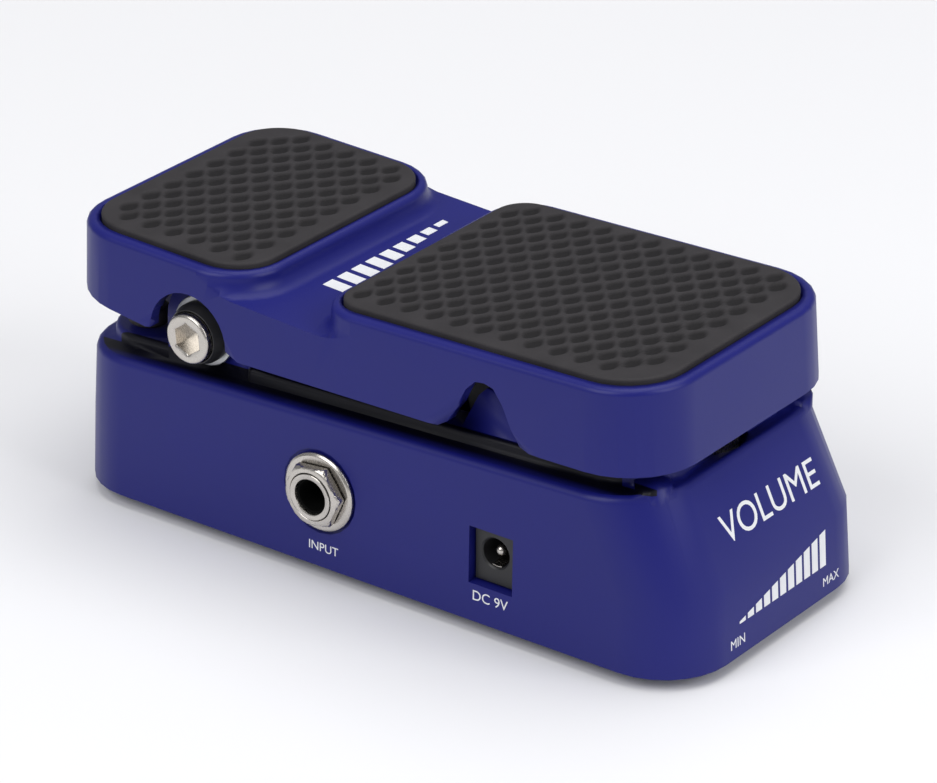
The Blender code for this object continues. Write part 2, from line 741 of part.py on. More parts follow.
def treadle_block():
    """The treadle's outside, up to the rounded rims of the two blocks."""
    top = (HEEL_RIM_Z + TOE_RIM_Z) / 2
    sections = [at_height(long_outline(treadle_outline(SKIRT_Z, 0)), SKIRT_Z - 2)]
    for inward, below in fillet(RIM_EDGE_R):
        outline = long_outline(treadle_outline(top - below, inward))
        sections.append(at_height(outline, lambda x: rim_height(x) - below))
    body = loft("treadle", sections)
    split_cap(body)
    return body


def split_cap(obj):
    """Split the faceted top cap where it crosses the saddle."""
    shape = bmesh.new()
    shape.from_mesh(obj.data)
    for x in (HEEL_FRONT_X, TOE_BACK_X):
        everything = shape.verts[:] + shape.edges[:] + shape.faces[:]
        bmesh.ops.bisect_plane(shape, geom=everything, dist=1e-4,
                               plane_co=(x, 0, 0), plane_no=(1, 0, 0))
    shape.to_mesh(obj.data)
    shape.free()


def saddle_section(spread, heel_height, toe_height):
    """Plan of the gap between the blocks, their walls moved by `spread`."""
    reach = WIDTH
    heel_r = HEEL_BLOCK_FRONT_R + spread
    toe_r = TOE_BLOCK_BACK_R + spread
    half = BLOCK_HALF_W + spread + 0.02
    heel_x = HEEL_FRONT_X + spread
    toe_x = TOE_BACK_X - spread
    heel_low = corner_arc(heel_x - heel_r, heel_r - half, heel_r, 270)
    heel_high = corner_arc(heel_x - heel_r, half - heel_r, heel_r, 0)
    toe_high = corner_arc(toe_x + toe_r, half - toe_r, toe_r, 90)
    toe_low = corner_arc(toe_x + toe_r, toe_r - half, toe_r, 180)
    heel_side = [(heel_low[0][0], -reach)] + heel_low + heel_high + [(heel_high[-1][0], reach)]
    toe_side = [(toe_high[0][0], reach)] + toe_high + toe_low + [(toe_low[-1][0], -reach)]
    return ([(x, y, heel_height(x)) for x, y in heel_side]
            + [(x, y, toe_height(x)) for x, y in toe_side])


def saddle_cutter():
    """What is missing between the blocks: a valley with rounded roots and lips."""
    root = SADDLE_FILLET_R
    quarter = [math.pi / 2 * i / FILLET_STEPS for i in range(FILLET_STEPS + 1)]
    sections = []
    for turn in quarter:
        spread = root * (1 - math.sin(turn))
        floor = lambda x: saddle(x) + root * (1 - math.cos(turn))
        sections.append(saddle_section(spread, floor, floor))
    for inward, below in fillet(RIM_EDGE_R):
        sections.append(saddle_section(-inward, lambda x: heel_rim(x) - below,
                                       lambda x: toe_rim(x) - below))
    ceiling = lambda x: TOE_RIM_Z + 12.0
    sections.append(saddle_section(-RIM_EDGE_R, ceiling, ceiling))
    return loft("valley", sections)


def belly_cutter():
    """Everything below the skirt's edge, as one long outline in side view."""
    steps = 72
    low_x, high_x = TREADLE_HEEL_X - 5, TREADLE_TOE_X + 5
    xs = [low_x + (high_x - low_x) * i / steps for i in range(steps + 1)]
    clear = PIVOT_ARCH_R + 1.0
    xs = [x for x in xs if abs(x - PIVOT_X) > clear]
    heel_side = [(x, skirt(x)) for x in xs if x < PIVOT_X]
    toe_side = [(x, skirt(x)) for x in xs if x > PIVOT_X]
    turns = [math.pi * (1 - i / 16) for i in range(17)]
    arch = [(PIVOT_X + PIVOT_ARCH_R * math.cos(t), PIVOT_Z + PIVOT_ARCH_R * math.sin(t)) for t in turns]
    edge = heel_side + arch + toe_side
    outline = [(low_x, 0)] + edge + [(high_x, 0)]
    return prism("belly", outline, "y", -FAR, FAR)


def pad_plan(block_name, inset):
    """Plan of a pad recess, or of the pad itself with an inset."""
    rim = PAD_RIM
    half = BLOCK_HALF_W - rim - inset
    if block_name == "heel":
        heel_x = TREADLE_HEEL_X + (HEEL_RIM_Z - SKIRT_Z) * TREADLE_DRAFT + rim + inset
        return plan(heel_x, HEEL_FRONT_X - rim + 0.6 - inset, half,
                    TREADLE_HEEL_R - rim - inset, HEEL_BLOCK_FRONT_R - rim - inset)
    return plan(TOE_BACK_X + rim - 0.6 + inset, TREADLE_TOE_X - rim - inset, half,
                TOE_BLOCK_BACK_R - rim - inset, TREADLE_TOE_R - rim - inset)


def rim_of(block_name):
    return heel_rim if block_name == "heel" else toe_rim


def pad_recess(block_name):
    rim = rim_of(block_name)
    outline = pad_plan(block_name, 0)
    return loft("recess", [at_height(outline, lambda x: rim(x) - PAD_RECESS),
                           at_height(outline, lambda x: rim(x) + 5)])


def cavities():
    """The hollow underside, one pocket under the saddle height and one per block."""
    inset = TREADLE_WALL
    full = treadle_outline(SKIRT_Z, inset)
    low = loft("low", [at_height(full, 10.0), at_height(full, saddle_ceiling(TREADLE_TOE_X) + 0.5)])
    saddle_box = block("mid", (HEEL_FRONT_X - 12, -BLOCK_HALF_W + inset + 1, 30),
                       (TOE_BACK_X + 12, BLOCK_HALF_W - inset - 1, 31))
    for vert in saddle_box.data.vertices:
        if vert.co.z > 30.5:
            vert.co.z = saddle_ceiling(vert.co.x)
    heel = plan(TREADLE_HEEL_X + inset + 0.4, HEEL_FRONT_X - inset, BLOCK_HALF_W - inset,
                TREADLE_HEEL_R - inset, HEEL_BLOCK_FRONT_R - inset)
    toe = plan(TOE_BACK_X + inset, TREADLE_TOE_X - inset - 0.4, BLOCK_HALF_W - inset,
               TOE_BLOCK_BACK_R - inset, TREADLE_TOE_R - inset)
    upper = [loft("heel", [at_height(heel, 30.0), at_height(heel, heel_ceiling)]),
             loft("toe", [at_height(toe, 30.0), at_height(toe, toe_ceiling)])]
    return [low, saddle_box] + upper


def lug_outline():
    """Side view of a treadle lug: a round eye hung from the ceiling."""
    top = heel_ceiling(PIVOT_X) + TREADLE_SKIN / 2
    turns = [math.pi + math.pi * i / 12 for i in range(13)]
    eye = [(PIVOT_X + LUG_R * math.cos(t), PIVOT_Z + LUG_R * math.sin(t)) for t in turns]
    return eye + [(PIVOT_X + LUG_R, top), (PIVOT_X - LUG_R, top)]


def lug_span(side):
    """Where a lug starts and ends across the pedal."""
    outer = TOWER_OUT_Y - TOWER_THICK - SWING_GAP
    return sorted((side * outer, side * (outer - LUG_THICK)))


def stop_places():
    """Rubber stop, how far it is from the pivot, and the angle that closes it."""
    return {"toe": (TOE_X - TOE_STOP_FROM_TOE, TOE_DOWN_DEG, toe_ceiling),
            "heel": (HEEL_X + HEEL_STOP_FROM_HEEL, HEEL_DOWN_DEG, heel_ceiling)}


def stop_top(x):
    return plateau(x) + SEAT_GAP + STOP_H


def stop_drop(x, angle):
    """How far the treadle comes down over a stop, at the stop's far edge."""
    return (abs(x - PIVOT_X) + STOP_R) * math.sin(math.radians(angle))


def add_treadle_posts(body):
    """Lugs, stop bosses and screw posts on the treadle's underside."""
    for side in (1, -1):
        low, high = lug_span(side)
        join(body, prism("lug", lug_outline(), "y", low, high))
        cut(body, rod("eye", "y", (PIVOT_X, 0, PIVOT_Z), BOLT_SHANK_R + SEAT_GAP,
                      low - 1, high + 1, BORE_STEPS))
        for x, angle, ceiling in stop_places().values():
            bottom = stop_top(x) + stop_drop(x, angle) + SEAT_GAP
            join(body, rod("boss", "z", (x, side * STOP_Y, 0), STOP_BOSS_R, bottom,
                           ceiling(x) + TREADLE_SKIN / 2, BORE_STEPS))
    for x, y in sector_screw_spots().values():
        cut(body, rod("tap", "z", (x, y, 0), M3_HOLE_R, 30, toe_rim(x) - PAD_RECESS - 0.5, BORE_STEPS))


def treadle(body_empty):
    body = treadle_block()
    cut(body, saddle_cutter(), pad_recess("heel"), pad_recess("toe"))
    cut(body, *cavities())
    cut(body, belly_cutter())
    add_treadle_posts(body)
    return place(body, body_empty, (PIVOT_X, 0, PIVOT_Z), "blue_paint")


def rubber_pad(body_empty, block_name):
    """A pad that fills its recess and stands proud of the rim."""
    rim = rim_of(block_name)
    base = lambda x: rim(x) - PAD_RECESS + SEAT_GAP
    sections = [at_height(pad_plan(block_name, PAD_GAP), base)]
    for inward, below in fillet(PAD_EDGE_R):
        height = lambda x: rim(x) + PAD_PROUD - below
        sections.append(at_height(pad_plan(block_name, PAD_GAP + inward), height))
    pad = loft(block_name + "_pad", sections)
    mid_x = HEEL_MID_X if block_name == "heel" else TOE_MID_X
    return place(pad, body_empty, (mid_x, 0, rim(mid_x)), "black_rubber")


# ---- pivot pieces --------------------------------------------------------
def hexagon(centre_x, centre_z, across_flats, turn_deg=0.0):
    radius = across_flats / math.sqrt(3)
    turns = [math.radians(60 * i + turn_deg) for i in range(6)]
    return [(centre_x + radius * math.cos(t), centre_z + radius * math.sin(t)) for t in turns]


def pivot_stack():
    """Distances from the middle plane, working outward from the tower."""
    washer = TOWER_OUT_Y + SEAT_GAP
    bush = washer + WASHER_THICK + SEAT_GAP
    head = bush + BUSH_FLOOR + SEAT_GAP
    return washer, bush, head


def pivot_washer(pedal, name, side):
    inner = BOLT_SHANK_R + RUN_GAP + BUSH_WALL + SEAT_GAP
    start = pivot_stack()[0]
    profile = [(inner, start), (WASHER_R, start), (WASHER_R, start + WASHER_THICK),
               (inner, start + WASHER_THICK)]
    washer = turned("pivot_washer_" + name, [(r, side * h) for r, h in profile], "y",
                    (PIVOT_X, 0, PIVOT_Z))
    return place(washer, pedal, (PIVOT_X, side * start, PIVOT_Z), "zinc_steel")


def pivot_bush(pedal, name, side):
    """Black bush: a sleeve through the tower and a cup around the bolt head."""
    start = pivot_stack()[1]
    bore = BOLT_SHANK_R + RUN_GAP
    sleeve = bore + BUSH_WALL
    inner_end = TOWER_OUT_Y - TOWER_THICK
    cup_in = BOLT_HEAD_R + RUN_GAP + 0.1
    cup_out = cup_in + BUSH_CUP_WALL
    rim = start + BUSH_FLOOR + BUSH_CUP_DEPTH
    profile = [(bore, inner_end), (sleeve, inner_end), (sleeve, start), (cup_out, start),
               (cup_out, rim - 0.3), (cup_out - 0.3, rim), (cup_in, rim),
               (cup_in, start + BUSH_FLOOR), (bore, start + BUSH_FLOOR)]
    bush = turned("pivot_bush_" + name, [(r, side * h) for r, h in profile], "y",
                  (PIVOT_X, 0, PIVOT_Z))
    return place(bush, pedal, (PIVOT_X, side * start, PIVOT_Z), "black_plastic")


def pivot_bolt(body_empty, name, side):
    """Low socket head bolt that the treadle swings on."""
    under = pivot_stack()[2]
    face = under + BOLT_HEAD_H
    inner_end = lug_span(1)[0] - 1.0
    profile = [(0, inner_end), (BOLT_SHANK_R - 0.5, inner_end), (BOLT_SHANK_R, inner_end + 0.5),
               (BOLT_SHANK_R, under), (BOLT_HEAD_R, under), (BOLT_HEAD_R, face - 0.4),
               (BOLT_HEAD_R - 0.4, face), (0, face)]
    bolt = turned("pivot_bolt_" + name, [(r, side * h) for r, h in profile], "y",
                  (PIVOT_X, 0, PIVOT_Z))
    low, high = sorted((side * (face - BOLT_SOCKET_DEPTH), side * (face + 1)))
    cut(bolt, prism("socket", hexagon(PIVOT_X, PIVOT_Z, BOLT_SOCKET_AF, 35), "y", low, high))
    return place(bolt, body_empty, (PIVOT_X, 0, PIVOT_Z), "nickel")


# ---- gear drive ----------------------------------------------------------
def tooth(radius, angle):
    """Four corners of one tooth on a gear of pitch radius `radius`."""
    root = radius - TOOTH_DEDENDUM
    tip = radius + TOOTH_ADDENDUM
    half_root = TOOTH_ROOT_W / 2 / radius
    half_tip = TOOTH_TIP_W / 2 / radius
    corners = [(root, -half_root), (tip, -half_tip), (tip, half_tip), (root, half_root)]
    return [(r * math.cos(angle + a), r * math.sin(angle + a)) for r, a in corners]


def sector_screw_spots():
    """One screw on each side of the sector's web."""
    x = PIVOT_X + SECTOR_R - 3.5 - SECTOR_FLANGE_L / 2
    y = SECTOR_THICK / 2 + M3_HEAD_R + SEAT_GAP
    return {"left": (x, y), "right": (x, -y)}


def drive_sector(body_empty):
    """Toothed sector screwed up to the treadle, swinging about the pivot."""
    pitch = 2 * math.pi / SECTOR_FULL_TEETH
    teeth = range(-SECTOR_TEETH_BELOW, SECTOR_TEETH_ABOVE + 1)
    outer = []
    for i in teeth:
        outer += tooth(SECTOR_R, MESH_ANGLE + i * pitch)
    low = MESH_ANGLE - (SECTOR_TEETH_BELOW + 0.6) * pitch
    root = SECTOR_R - TOOTH_DEDENDUM
    inner_r = SECTOR_R - SECTOR_BAND
    outer = [(root * math.cos(low), root * math.sin(low))] + outer
    flange_top = toe_ceiling(PIVOT_X + SECTOR_R) - SEAT_GAP - PIVOT_Z - 0.4
    top_angle = MESH_ANGLE + (SECTOR_TEETH_ABOVE + 0.6) * pitch
    outer.append((root * math.cos(top_angle), root * math.sin(top_angle)))
    web_top = flange_top - SECTOR_FLANGE_H / 2
    outer.append((SECTOR_R - 4.0, web_top))
    outer.append((SECTOR_R - SECTOR_BAND - 9.0, web_top))
    inner = [low + (top_angle - low) * (1 - i / 6) for i in range(7)]
    outline = outer + [(inner_r * math.cos(t), inner_r * math.sin(t)) for t in inner if t < top_angle * 0.6]
    outline = [(PIVOT_X + u, PIVOT_Z + v) for u, v in outline]
    sector = prism("drive_sector", outline, "y", -SECTOR_THICK / 2, SECTOR_THICK / 2)
    top_x = PIVOT_X + SECTOR_R - 3.5
    half = SECTOR_FLANGE_W / 2
    top_z = PIVOT_Z + flange_top
    join(sector, block("flange", (top_x - SECTOR_FLANGE_L, -half, top_z - SECTOR_FLANGE_H),
                       (top_x, half, top_z)))
    for x, y in sector_screw_spots().values():
        cut(sector, rod("hole", "z", (x, y, 0), M3_HOLE_R, 0, FAR, BORE_STEPS))
    return place(sector, body_empty, (PIVOT_X, 0, PIVOT_Z), "white_nylon")


def sector_screws(body_empty):
    """Screws that come up through the flange into the treadle."""
    flange_low = toe_ceiling(PIVOT_X + SECTOR_R) - SEAT_GAP - 0.4 - SECTOR_FLANGE_H
    for name, (x, y) in sector_screw_spots().items():
        m3_screw("sector_screw_" + name, body_empty, (x, y, flange_low - SEAT_GAP), 1, 4.2)


def pinion(spin):
    """Small gear on the potentiometer shaft, a gap facing the sector at rest."""
    pitch = 2 * math.pi / PINION_TEETH
    start = MESH_ANGLE + math.pi + pitch / 2
    outline = []
    for i in range(PINION_TEETH):
        outline += tooth(PINION_R, start + i * pitch)
    outline = [(PINION_X + u, PINION_Z + v) for u, v in outline]
    gear = prism("pinion", outline, "y", -PINION_THICK / 2, PINION_THICK / 2)
    cut(gear, rod("bore", "y", (PINION_X, 0, PINION_Z), POT_SHAFT_R + SEAT_GAP,
                  -PINION_THICK, PINION_THICK, BORE_STEPS))
    return place(gear, spin, (PINION_X, 0, PINION_Z), "white_nylon")


def pot_shaft(spin):
    start = POT_FACE_Y + 0.6
    end = PINION_THICK / 2 + 0.8
    profile = [(0, start), (POT_SHAFT_R, start), (POT_SHAFT_R, end - 0.4),
               (POT_SHAFT_R - 0.4, end), (0, end)]
    shaft = turned("pot_shaft", profile, "y", (PINION_X, 0, PINION_Z), BORE_STEPS)
    return place(shaft, spin, (PINION_X, 0, PINION_Z), "zinc_steel")


def pot_body(pedal):
    """Round can with its threaded bush and three solder tags."""
    face = POT_FACE_Y
    back = face - POT_BODY_H
    bore = POT_SHAFT_R + RUN_GAP
    front = face + POT_BUSH_H
    profile = [(0, back), (POT_BODY_R - 0.6, back), (POT_BODY_R, back + 0.6), (POT_BODY_R, face),
               (POT_BUSH_R, face), (POT_BUSH_R, front), (bore, front), (bore, face + 0.3),
               (0, face + 0.3)]
    body = turned("pot_body", profile, "y", (PINION_X, 0, PINION_Z))
    for shift in (-4.0, 0.0, 4.0):
        low_z = PINION_Z - POT_BODY_R - 2.4
        join(body, block("tag", (PINION_X + shift - 0.8, face - 2.0, low_z),
                         (PINION_X + shift + 0.8, face - 1.2, PINION_Z - POT_BODY_R + 2.6)))
    return place(body, pedal, (PINION_X, face, PINION_Z), "zinc_steel")


def pot_nut(pedal):
    low = BRACKET_Y + BRACKET_THICK + SEAT_GAP
    nut = prism("pot_nut", hexagon(PINION_X, PINION_Z, 11.0), "y", low, low + 2.0)
    cut(nut, rod("bore", "y", (PINION_X, 0, PINION_Z), POT_BUSH_R + SEAT_GAP, low - 1, low + 3, BORE_STEPS))
    return place(nut, pedal, (PINION_X, low, PINION_Z), "nickel")


def pot_bracket(pedal):
    """Bent sheet steel that spans the gear bay and holds the potentiometer."""
    foot = lambda x: plateau(x) + SEAT_GAP
    heel_end, toe_end = PINION_X - BRACKET_HALF_L, PINION_X + BRACKET_HALF_L
    bend = BRACKET_THICK / 3
    wing = foot(PINION_X) + 3.4
    crown = PINION_Z + POT_BUSH_R + 2.2
    outline = [(heel_end, foot(heel_end) + bend), (toe_end, foot(toe_end) + bend), (toe_end, wing),
               (PINION_X + 9.5, wing), (PINION_X + 6.0, crown), (PINION_X - 6.0, crown),
               (PINION_X - 9.5, wing), (heel_end, wing)]
    plate = prism("pot_bracket", outline, "y", BRACKET_Y, BRACKET_Y + BRACKET_THICK)
    for start, end in ((heel_end - bend, heel_end + BRACKET_TAB), (toe_end - BRACKET_TAB, toe_end + bend)):
        side_view = [(start, foot(start)), (end, foot(end)),
                     (end, foot(end) + BRACKET_THICK), (start, foot(start) + BRACKET_THICK)]
        join(plate, prism("tab", side_view, "y", BRACKET_Y + bend, BRACKET_Y + BRACKET_THICK + BRACKET_TAB_W))
    for x, y in bracket_screw_spots().values():
        cut(plate, rod("hole", "z", (x, y, 0), M3_HOLE_R, DECK_Z, FAR, BORE_STEPS))
    cut(plate, rod("bore", "y", (PINION_X, 0, PINION_Z), POT_BUSH_R + SEAT_GAP, -FAR, FAR, BORE_STEPS))
    return place(plate, pedal, (PINION_X, BRACKET_Y, foot(PINION_X)), "zinc_steel")


def bracket_screws(pedal):
    for name, (x, y) in bracket_screw_spots().items():
        top = plateau(x) + 2 * SEAT_GAP + BRACKET_THICK + DECK_SLOPE * M3_HEAD_R
        m3_screw("bracket_screw_" + name, pedal, (x, y, top), -1, 4.6)


# ---- toe switch ----------------------------------------------------------
def toe_switch_body(pedal):
    """Square latching switch under the deck, its threaded bush through the hole."""
    top = SWITCH_FLOOR_Z - BASE_WALL - SEAT_GAP
    half = SWITCH_BODY_HALF
    body = block("toe_switch_body", (SWITCH_X - half, -half, top - SWITCH_BODY_H),
                 (SWITCH_X + half, half, top))
    join(body, rod("bush", "z", (SWITCH_X, 0, 0), SWITCH_BUSH_R, top - 1, SWITCH_BUSH_TOP))
    floor = SWITCH_BUSH_TOP - 5.0 - PLUNGER_TRAVEL
    cut(body, rod("bore", "z", (SWITCH_X, 0, 0), PLUNGER_R + RUN_GAP, floor, FAR))
    return place(body, pedal, (SWITCH_X, 0, top), "black_plastic")


def toe_switch_washer(pedal):
    low = SWITCH_FLOOR_Z + SEAT_GAP
    inner = SWITCH_BUSH_R + SEAT_GAP
    outer = SWITCH_NUT_AF / 2 + 1.0
    profile = [(inner, low), (outer, low), (outer, low + 0.6), (inner, low + 0.6)]
    washer = turned("toe_switch_washer", profile, "z", (SWITCH_X, 0, 0))
    return place(washer, pedal, (SWITCH_X, 0, low), "zinc_steel")


def toe_switch_nut(pedal):
    low = SWITCH_FLOOR_Z + 2 * SEAT_GAP + 0.6
    nut = prism("toe_switch_nut", hexagon(SWITCH_X, 0, SWITCH_NUT_AF, 30), "z", low, low + SWITCH_NUT_H)
    cut(nut, rod("bore", "z", (SWITCH_X, 0, 0), SWITCH_BUSH_R + SEAT_GAP, 0, FAR))
    return place(nut, pedal, (SWITCH_X, 0, low), "nickel")


def toe_switch_plunger(press):
    low = SWITCH_BUSH_TOP - 5.0 + SEAT_GAP
    profile = [(0, low), (PLUNGER_R, low), (PLUNGER_R, PLUNGER_TOP_Z - 0.6),
               (PLUNGER_R - 0.6, PLUNGER_TOP_Z), (0, PLUNGER_TOP_Z)]
    plunger = turned("toe_switch_plunger", profile, "z", (SWITCH_X, 0, 0))
    return place(plunger, press, (SWITCH_X, 0, PLUNGER_TOP_Z), "black_plastic")


def toe_bumper(body_empty):
    """Rubber block under the treadle that meets the switch at full toe down."""
    reach = SWITCH_X - PIVOT_X + STOP_R + 0.8
    low = PLUNGER_TOP_Z + reach * math.sin(math.radians(TOE_DOWN_DEG)) + SEAT_GAP
    top = toe_ceiling(SWITCH_X) - SEAT_GAP - TOE_TILT * (STOP_R + 0.8)
    profile = [(0, low), (STOP_R, low), (STOP_R + 0.8, low + 0.8), (STOP_R + 0.8, top), (0, top)]
    bumper = turned("toe_bumper", profile, "z", (SWITCH_X, 0, 0))
    return place(bumper, body_empty, (SWITCH_X, 0, top), "black_rubber")


# ---- rubber stops --------------------------------------------------------
def rubber_stops(pedal):
    for end, (x, _, _) in stop_places().items():
        for name, side in (("left", 1), ("right", -1)):
            low = plateau(x) + DECK_SLOPE * STOP_R + SEAT_GAP
            top = stop_top(x)
            profile = [(0, low), (STOP_R, low), (STOP_R, top - 0.8), (STOP_R - 0.8, top), (0, top)]
            stop = turned("%s_stop_%s" % (end, name), profile, "z", (x, side * STOP_Y, 0))
            place(stop, pedal, (x, side * STOP_Y, low), "black_rubber")


# ---- jacks ---------------------------------------------------------------
def jack_stack():
    """Distances from the middle plane: washer face, nut face, sleeve end."""
    washer = spot_face_y() + SEAT_GAP
    nut = washer + JACK_WASHER_THICK + SEAT_GAP
    return washer, nut, spot_face_y() + JACK_SLEEVE_OUT


def jack_front_y():
    """How far out the moulded body of a jack comes, behind the wall."""
    return socket_wall_y(JACK_Z + JACK_BODY[2] / 2) - BASE_WALL - SEAT_GAP


def jack_body(pedal, name, side):
    """Moulded jack block, bored for a plug and counterbored for the sleeve."""
    front = jack_front_y()
    half_x, half_z = JACK_BODY[0] / 2, JACK_BODY[2] / 2
    low, high = sorted((side * front, side * (front - JACK_BODY[1])))
    body = block(name + "_jack_body", (JACK_X - half_x, low, JACK_Z - half_z),
                 (JACK_X + half_x, high, JACK_Z + half_z))
    spot = (JACK_X, 0, JACK_Z)
    low, high = sorted((side * (jack_stack()[2] - JACK_BORE_DEPTH), side * FAR))
    cut(body, rod("bore", "y", spot, JACK_BORE_R, low, high))
    low, high = sorted((side * (front - JACK_SLEEVE_SEAT - SEAT_GAP), side * FAR))
    cut(body, rod("seat", "y", spot, JACK_SLEEVE_R + SEAT_GAP, low, high))
    return place(body, pedal, (JACK_X, side * front, JACK_Z), "black_plastic")


def jack_sleeve(pedal, name, side):
    """Threaded sleeve that comes out through the wall and takes the nut."""
    end = jack_stack()[2]
    start = jack_front_y() - JACK_SLEEVE_SEAT
    profile = [(JACK_BORE_R, start), (JACK_SLEEVE_R, start), (JACK_SLEEVE_R, end - 0.3),
               (JACK_SLEEVE_R - 0.3, end), (JACK_BORE_R + 0.3, end), (JACK_BORE_R, end - 0.3)]
    sleeve = turned(name + "_jack_sleeve", [(r, side * h) for r, h in profile], "y", (JACK_X, 0, JACK_Z))
    return place(sleeve, pedal, (JACK_X, side * start, JACK_Z), "nickel")


def jack_washer(pedal, name, side):
    start = jack_stack()[0]
    inner = JACK_SLEEVE_R + SEAT_GAP
    end = start + JACK_WASHER_THICK
    profile = [(inner, start), (JACK_WASHER_R, start), (JACK_WASHER_R, end - 0.4),
               (JACK_WASHER_R - 0.4, end), (inner, end)]
    washer = turned(name + "_jack_washer", [(r, side * h) for r, h in profile], "y", (JACK_X, 0, JACK_Z))
    return place(washer, pedal, (JACK_X, side * start, JACK_Z), "nickel")


def jack_nut(pedal, name, side):
    start = jack_stack()[1]
    low, high = sorted((side * start, side * (start + JACK_NUT_H)))
    nut = prism(name + "_jack_nut", hexagon(JACK_X, JACK_Z, JACK_NUT_AF, 12), "y", low, high)
    cut(nut, rod("bore", "y", (JACK_X, 0, JACK_Z), JACK_SLEEVE_R + SEAT_GAP, low - 1, high + 1))
    return place(nut, pedal, (JACK_X, side * start, JACK_Z), "nickel")


def dc_jack_body(pedal):
    """Power socket body behind the window in the right side."""
    half = DC_WINDOW[0] / 2 - SEAT_GAP
    low_z = DC_WINDOW_LOW_Z + SEAT_GAP
    high_z = DC_WINDOW_LOW_Z + DC_WINDOW[1] - SEAT_GAP
    face = -(socket_wall_y(high_z) - DC_SET_BACK)
    body = block("dc_jack_body", (DC_X - half, face, low_z), (DC_X + half, face + DC_BODY_DEPTH, high_z))
    bore_z = (low_z + high_z) / 2 + DC_BORE_ABOVE_MIDDLE
    spot = (DC_X, 0, bore_z)
    cut(body, rod("bore", "y", spot, DC_BORE_R, -FAR, face + DC_BORE_DEPTH))
    cut(body, rod("pin_hole", "y", spot, DC_PIN_R + SEAT_GAP, -FAR, FAR, BORE_STEPS))
    place(body, pedal, (DC_X, face, bore_z), "black_plastic")
    profile = [(0, face + DC_BODY_DEPTH), (DC_PIN_R, face + DC_BODY_DEPTH), (DC_PIN_R, face + 1.4),
               (DC_PIN_R - 0.4, face + 0.9), (0, face + 0.9)]
    pin = turned("dc_jack_pin", profile, "y", spot, BORE_STEPS)
    return place(pin, pedal, (DC_X, face, bore_z), "nickel")


# ---- circuit board and indicator -----------------------------------------
def circuit_board(pedal):
    heel_x, toe_x = board_span()
    board = block("circuit_board", (heel_x, -BOARD_HALF_W, BOARD_Z),
                  (toe_x, BOARD_HALF_W, BOARD_Z + BOARD_THICK))
    for x, y in board_screw_spots().values():
        cut(board, rod("hole", "z", (x, y, 0), M3_HOLE_R, 0, BOARD_Z + 4, BORE_STEPS))
    place(board, pedal, (heel_x, 0, BOARD_Z), "green_board")
    for corner, (x, y) in board_screw_spots().items():
        m3_screw("board_screw_" + corner, pedal, (x, y, BOARD_Z - SEAT_GAP), 1, BOARD_THICK + 6.0)


def mode_lamp(pedal):
    """Indicator lamp through the deck behind the toe switch."""
    x = TOE_X - LED_FROM_TOE
    low = plateau(x) - BASE_WALL - 1.0
    top = plateau(x) + LED_HEIGHT
    dome = [(LED_R * math.cos(math.pi / 8 * i), top - LED_R + LED_R * math.sin(math.pi / 8 * i))
            for i in range(4)]
    lamp = turned("mode_lamp", [(0, low), (LED_R, low)] + dome + [(0, top)], "z", (x, 0, 0), BORE_STEPS)
    return place(lamp, pedal, (x, 0, low), "red_lens")


def build():
    clear_scene()
    pedal = frame_empty("pedal", (0, 0, 0))
    pedal.location.z = FOOT_HEIGHT * MM
    swing = frame_empty("treadle_axis", (PIVOT_X, 0, PIVOT_Z), pedal)
    base_housing(pedal)
    bottom_plate(pedal)
    rubber_feet(pedal)
    plate_screws(pedal)
    treadle(swing)
    rubber_pad(swing, "heel")
    rubber_pad(swing, "toe")
    for name, side in (("left", 1), ("right", -1)):
        pivot_washer(pedal, name, side)
        pivot_bush(pedal, name, side)
        pivot_bolt(swing, name, side)
    drive_sector(swing)
    sector_screws(swing)
    spin = frame_empty("pot_axis", (PINION_X, 0, PINION_Z), pedal)
    pinion(spin)
    pot_shaft(spin)
    pot_body(pedal)
    pot_nut(pedal)
    pot_bracket(pedal)
    bracket_screws(pedal)
    press = frame_empty("switch_axis", (SWITCH_X, 0, PLUNGER_TOP_Z), pedal)
    toe_switch_body(pedal)
    toe_switch_washer(pedal)
    toe_switch_nut(pedal)
    toe_switch_plunger(press)
    toe_bumper(swing)
    rubber_stops(pedal)
    for name, side in (("output", 1), ("input", -1)):
        jack_body(pedal, name, side)
        jack_sleeve(pedal, name, side)
        jack_washer(pedal, name, side)
        jack_nut(pedal, name, side)
    dc_jack_body(pedal)
    circuit_board(pedal)
    mode_lamp(pedal)


build()
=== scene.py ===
# %% [markdown]
# # A mini volume pedal, finished for looks
#
# A volume pedal is a footboard that rocks on a cast box. The box and the footboard are painted
# castings, the tread is two rubber pads, and the rest is hardware: a pivot bolt on each side,
# jacks, a power socket, a switch under the toe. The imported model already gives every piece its
# size and place, and says which pieces move together. This lesson only gives those pieces their
# looks.
#
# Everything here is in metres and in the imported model's own frame: +X from heel to toe, +Z up.

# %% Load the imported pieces
import json
import math

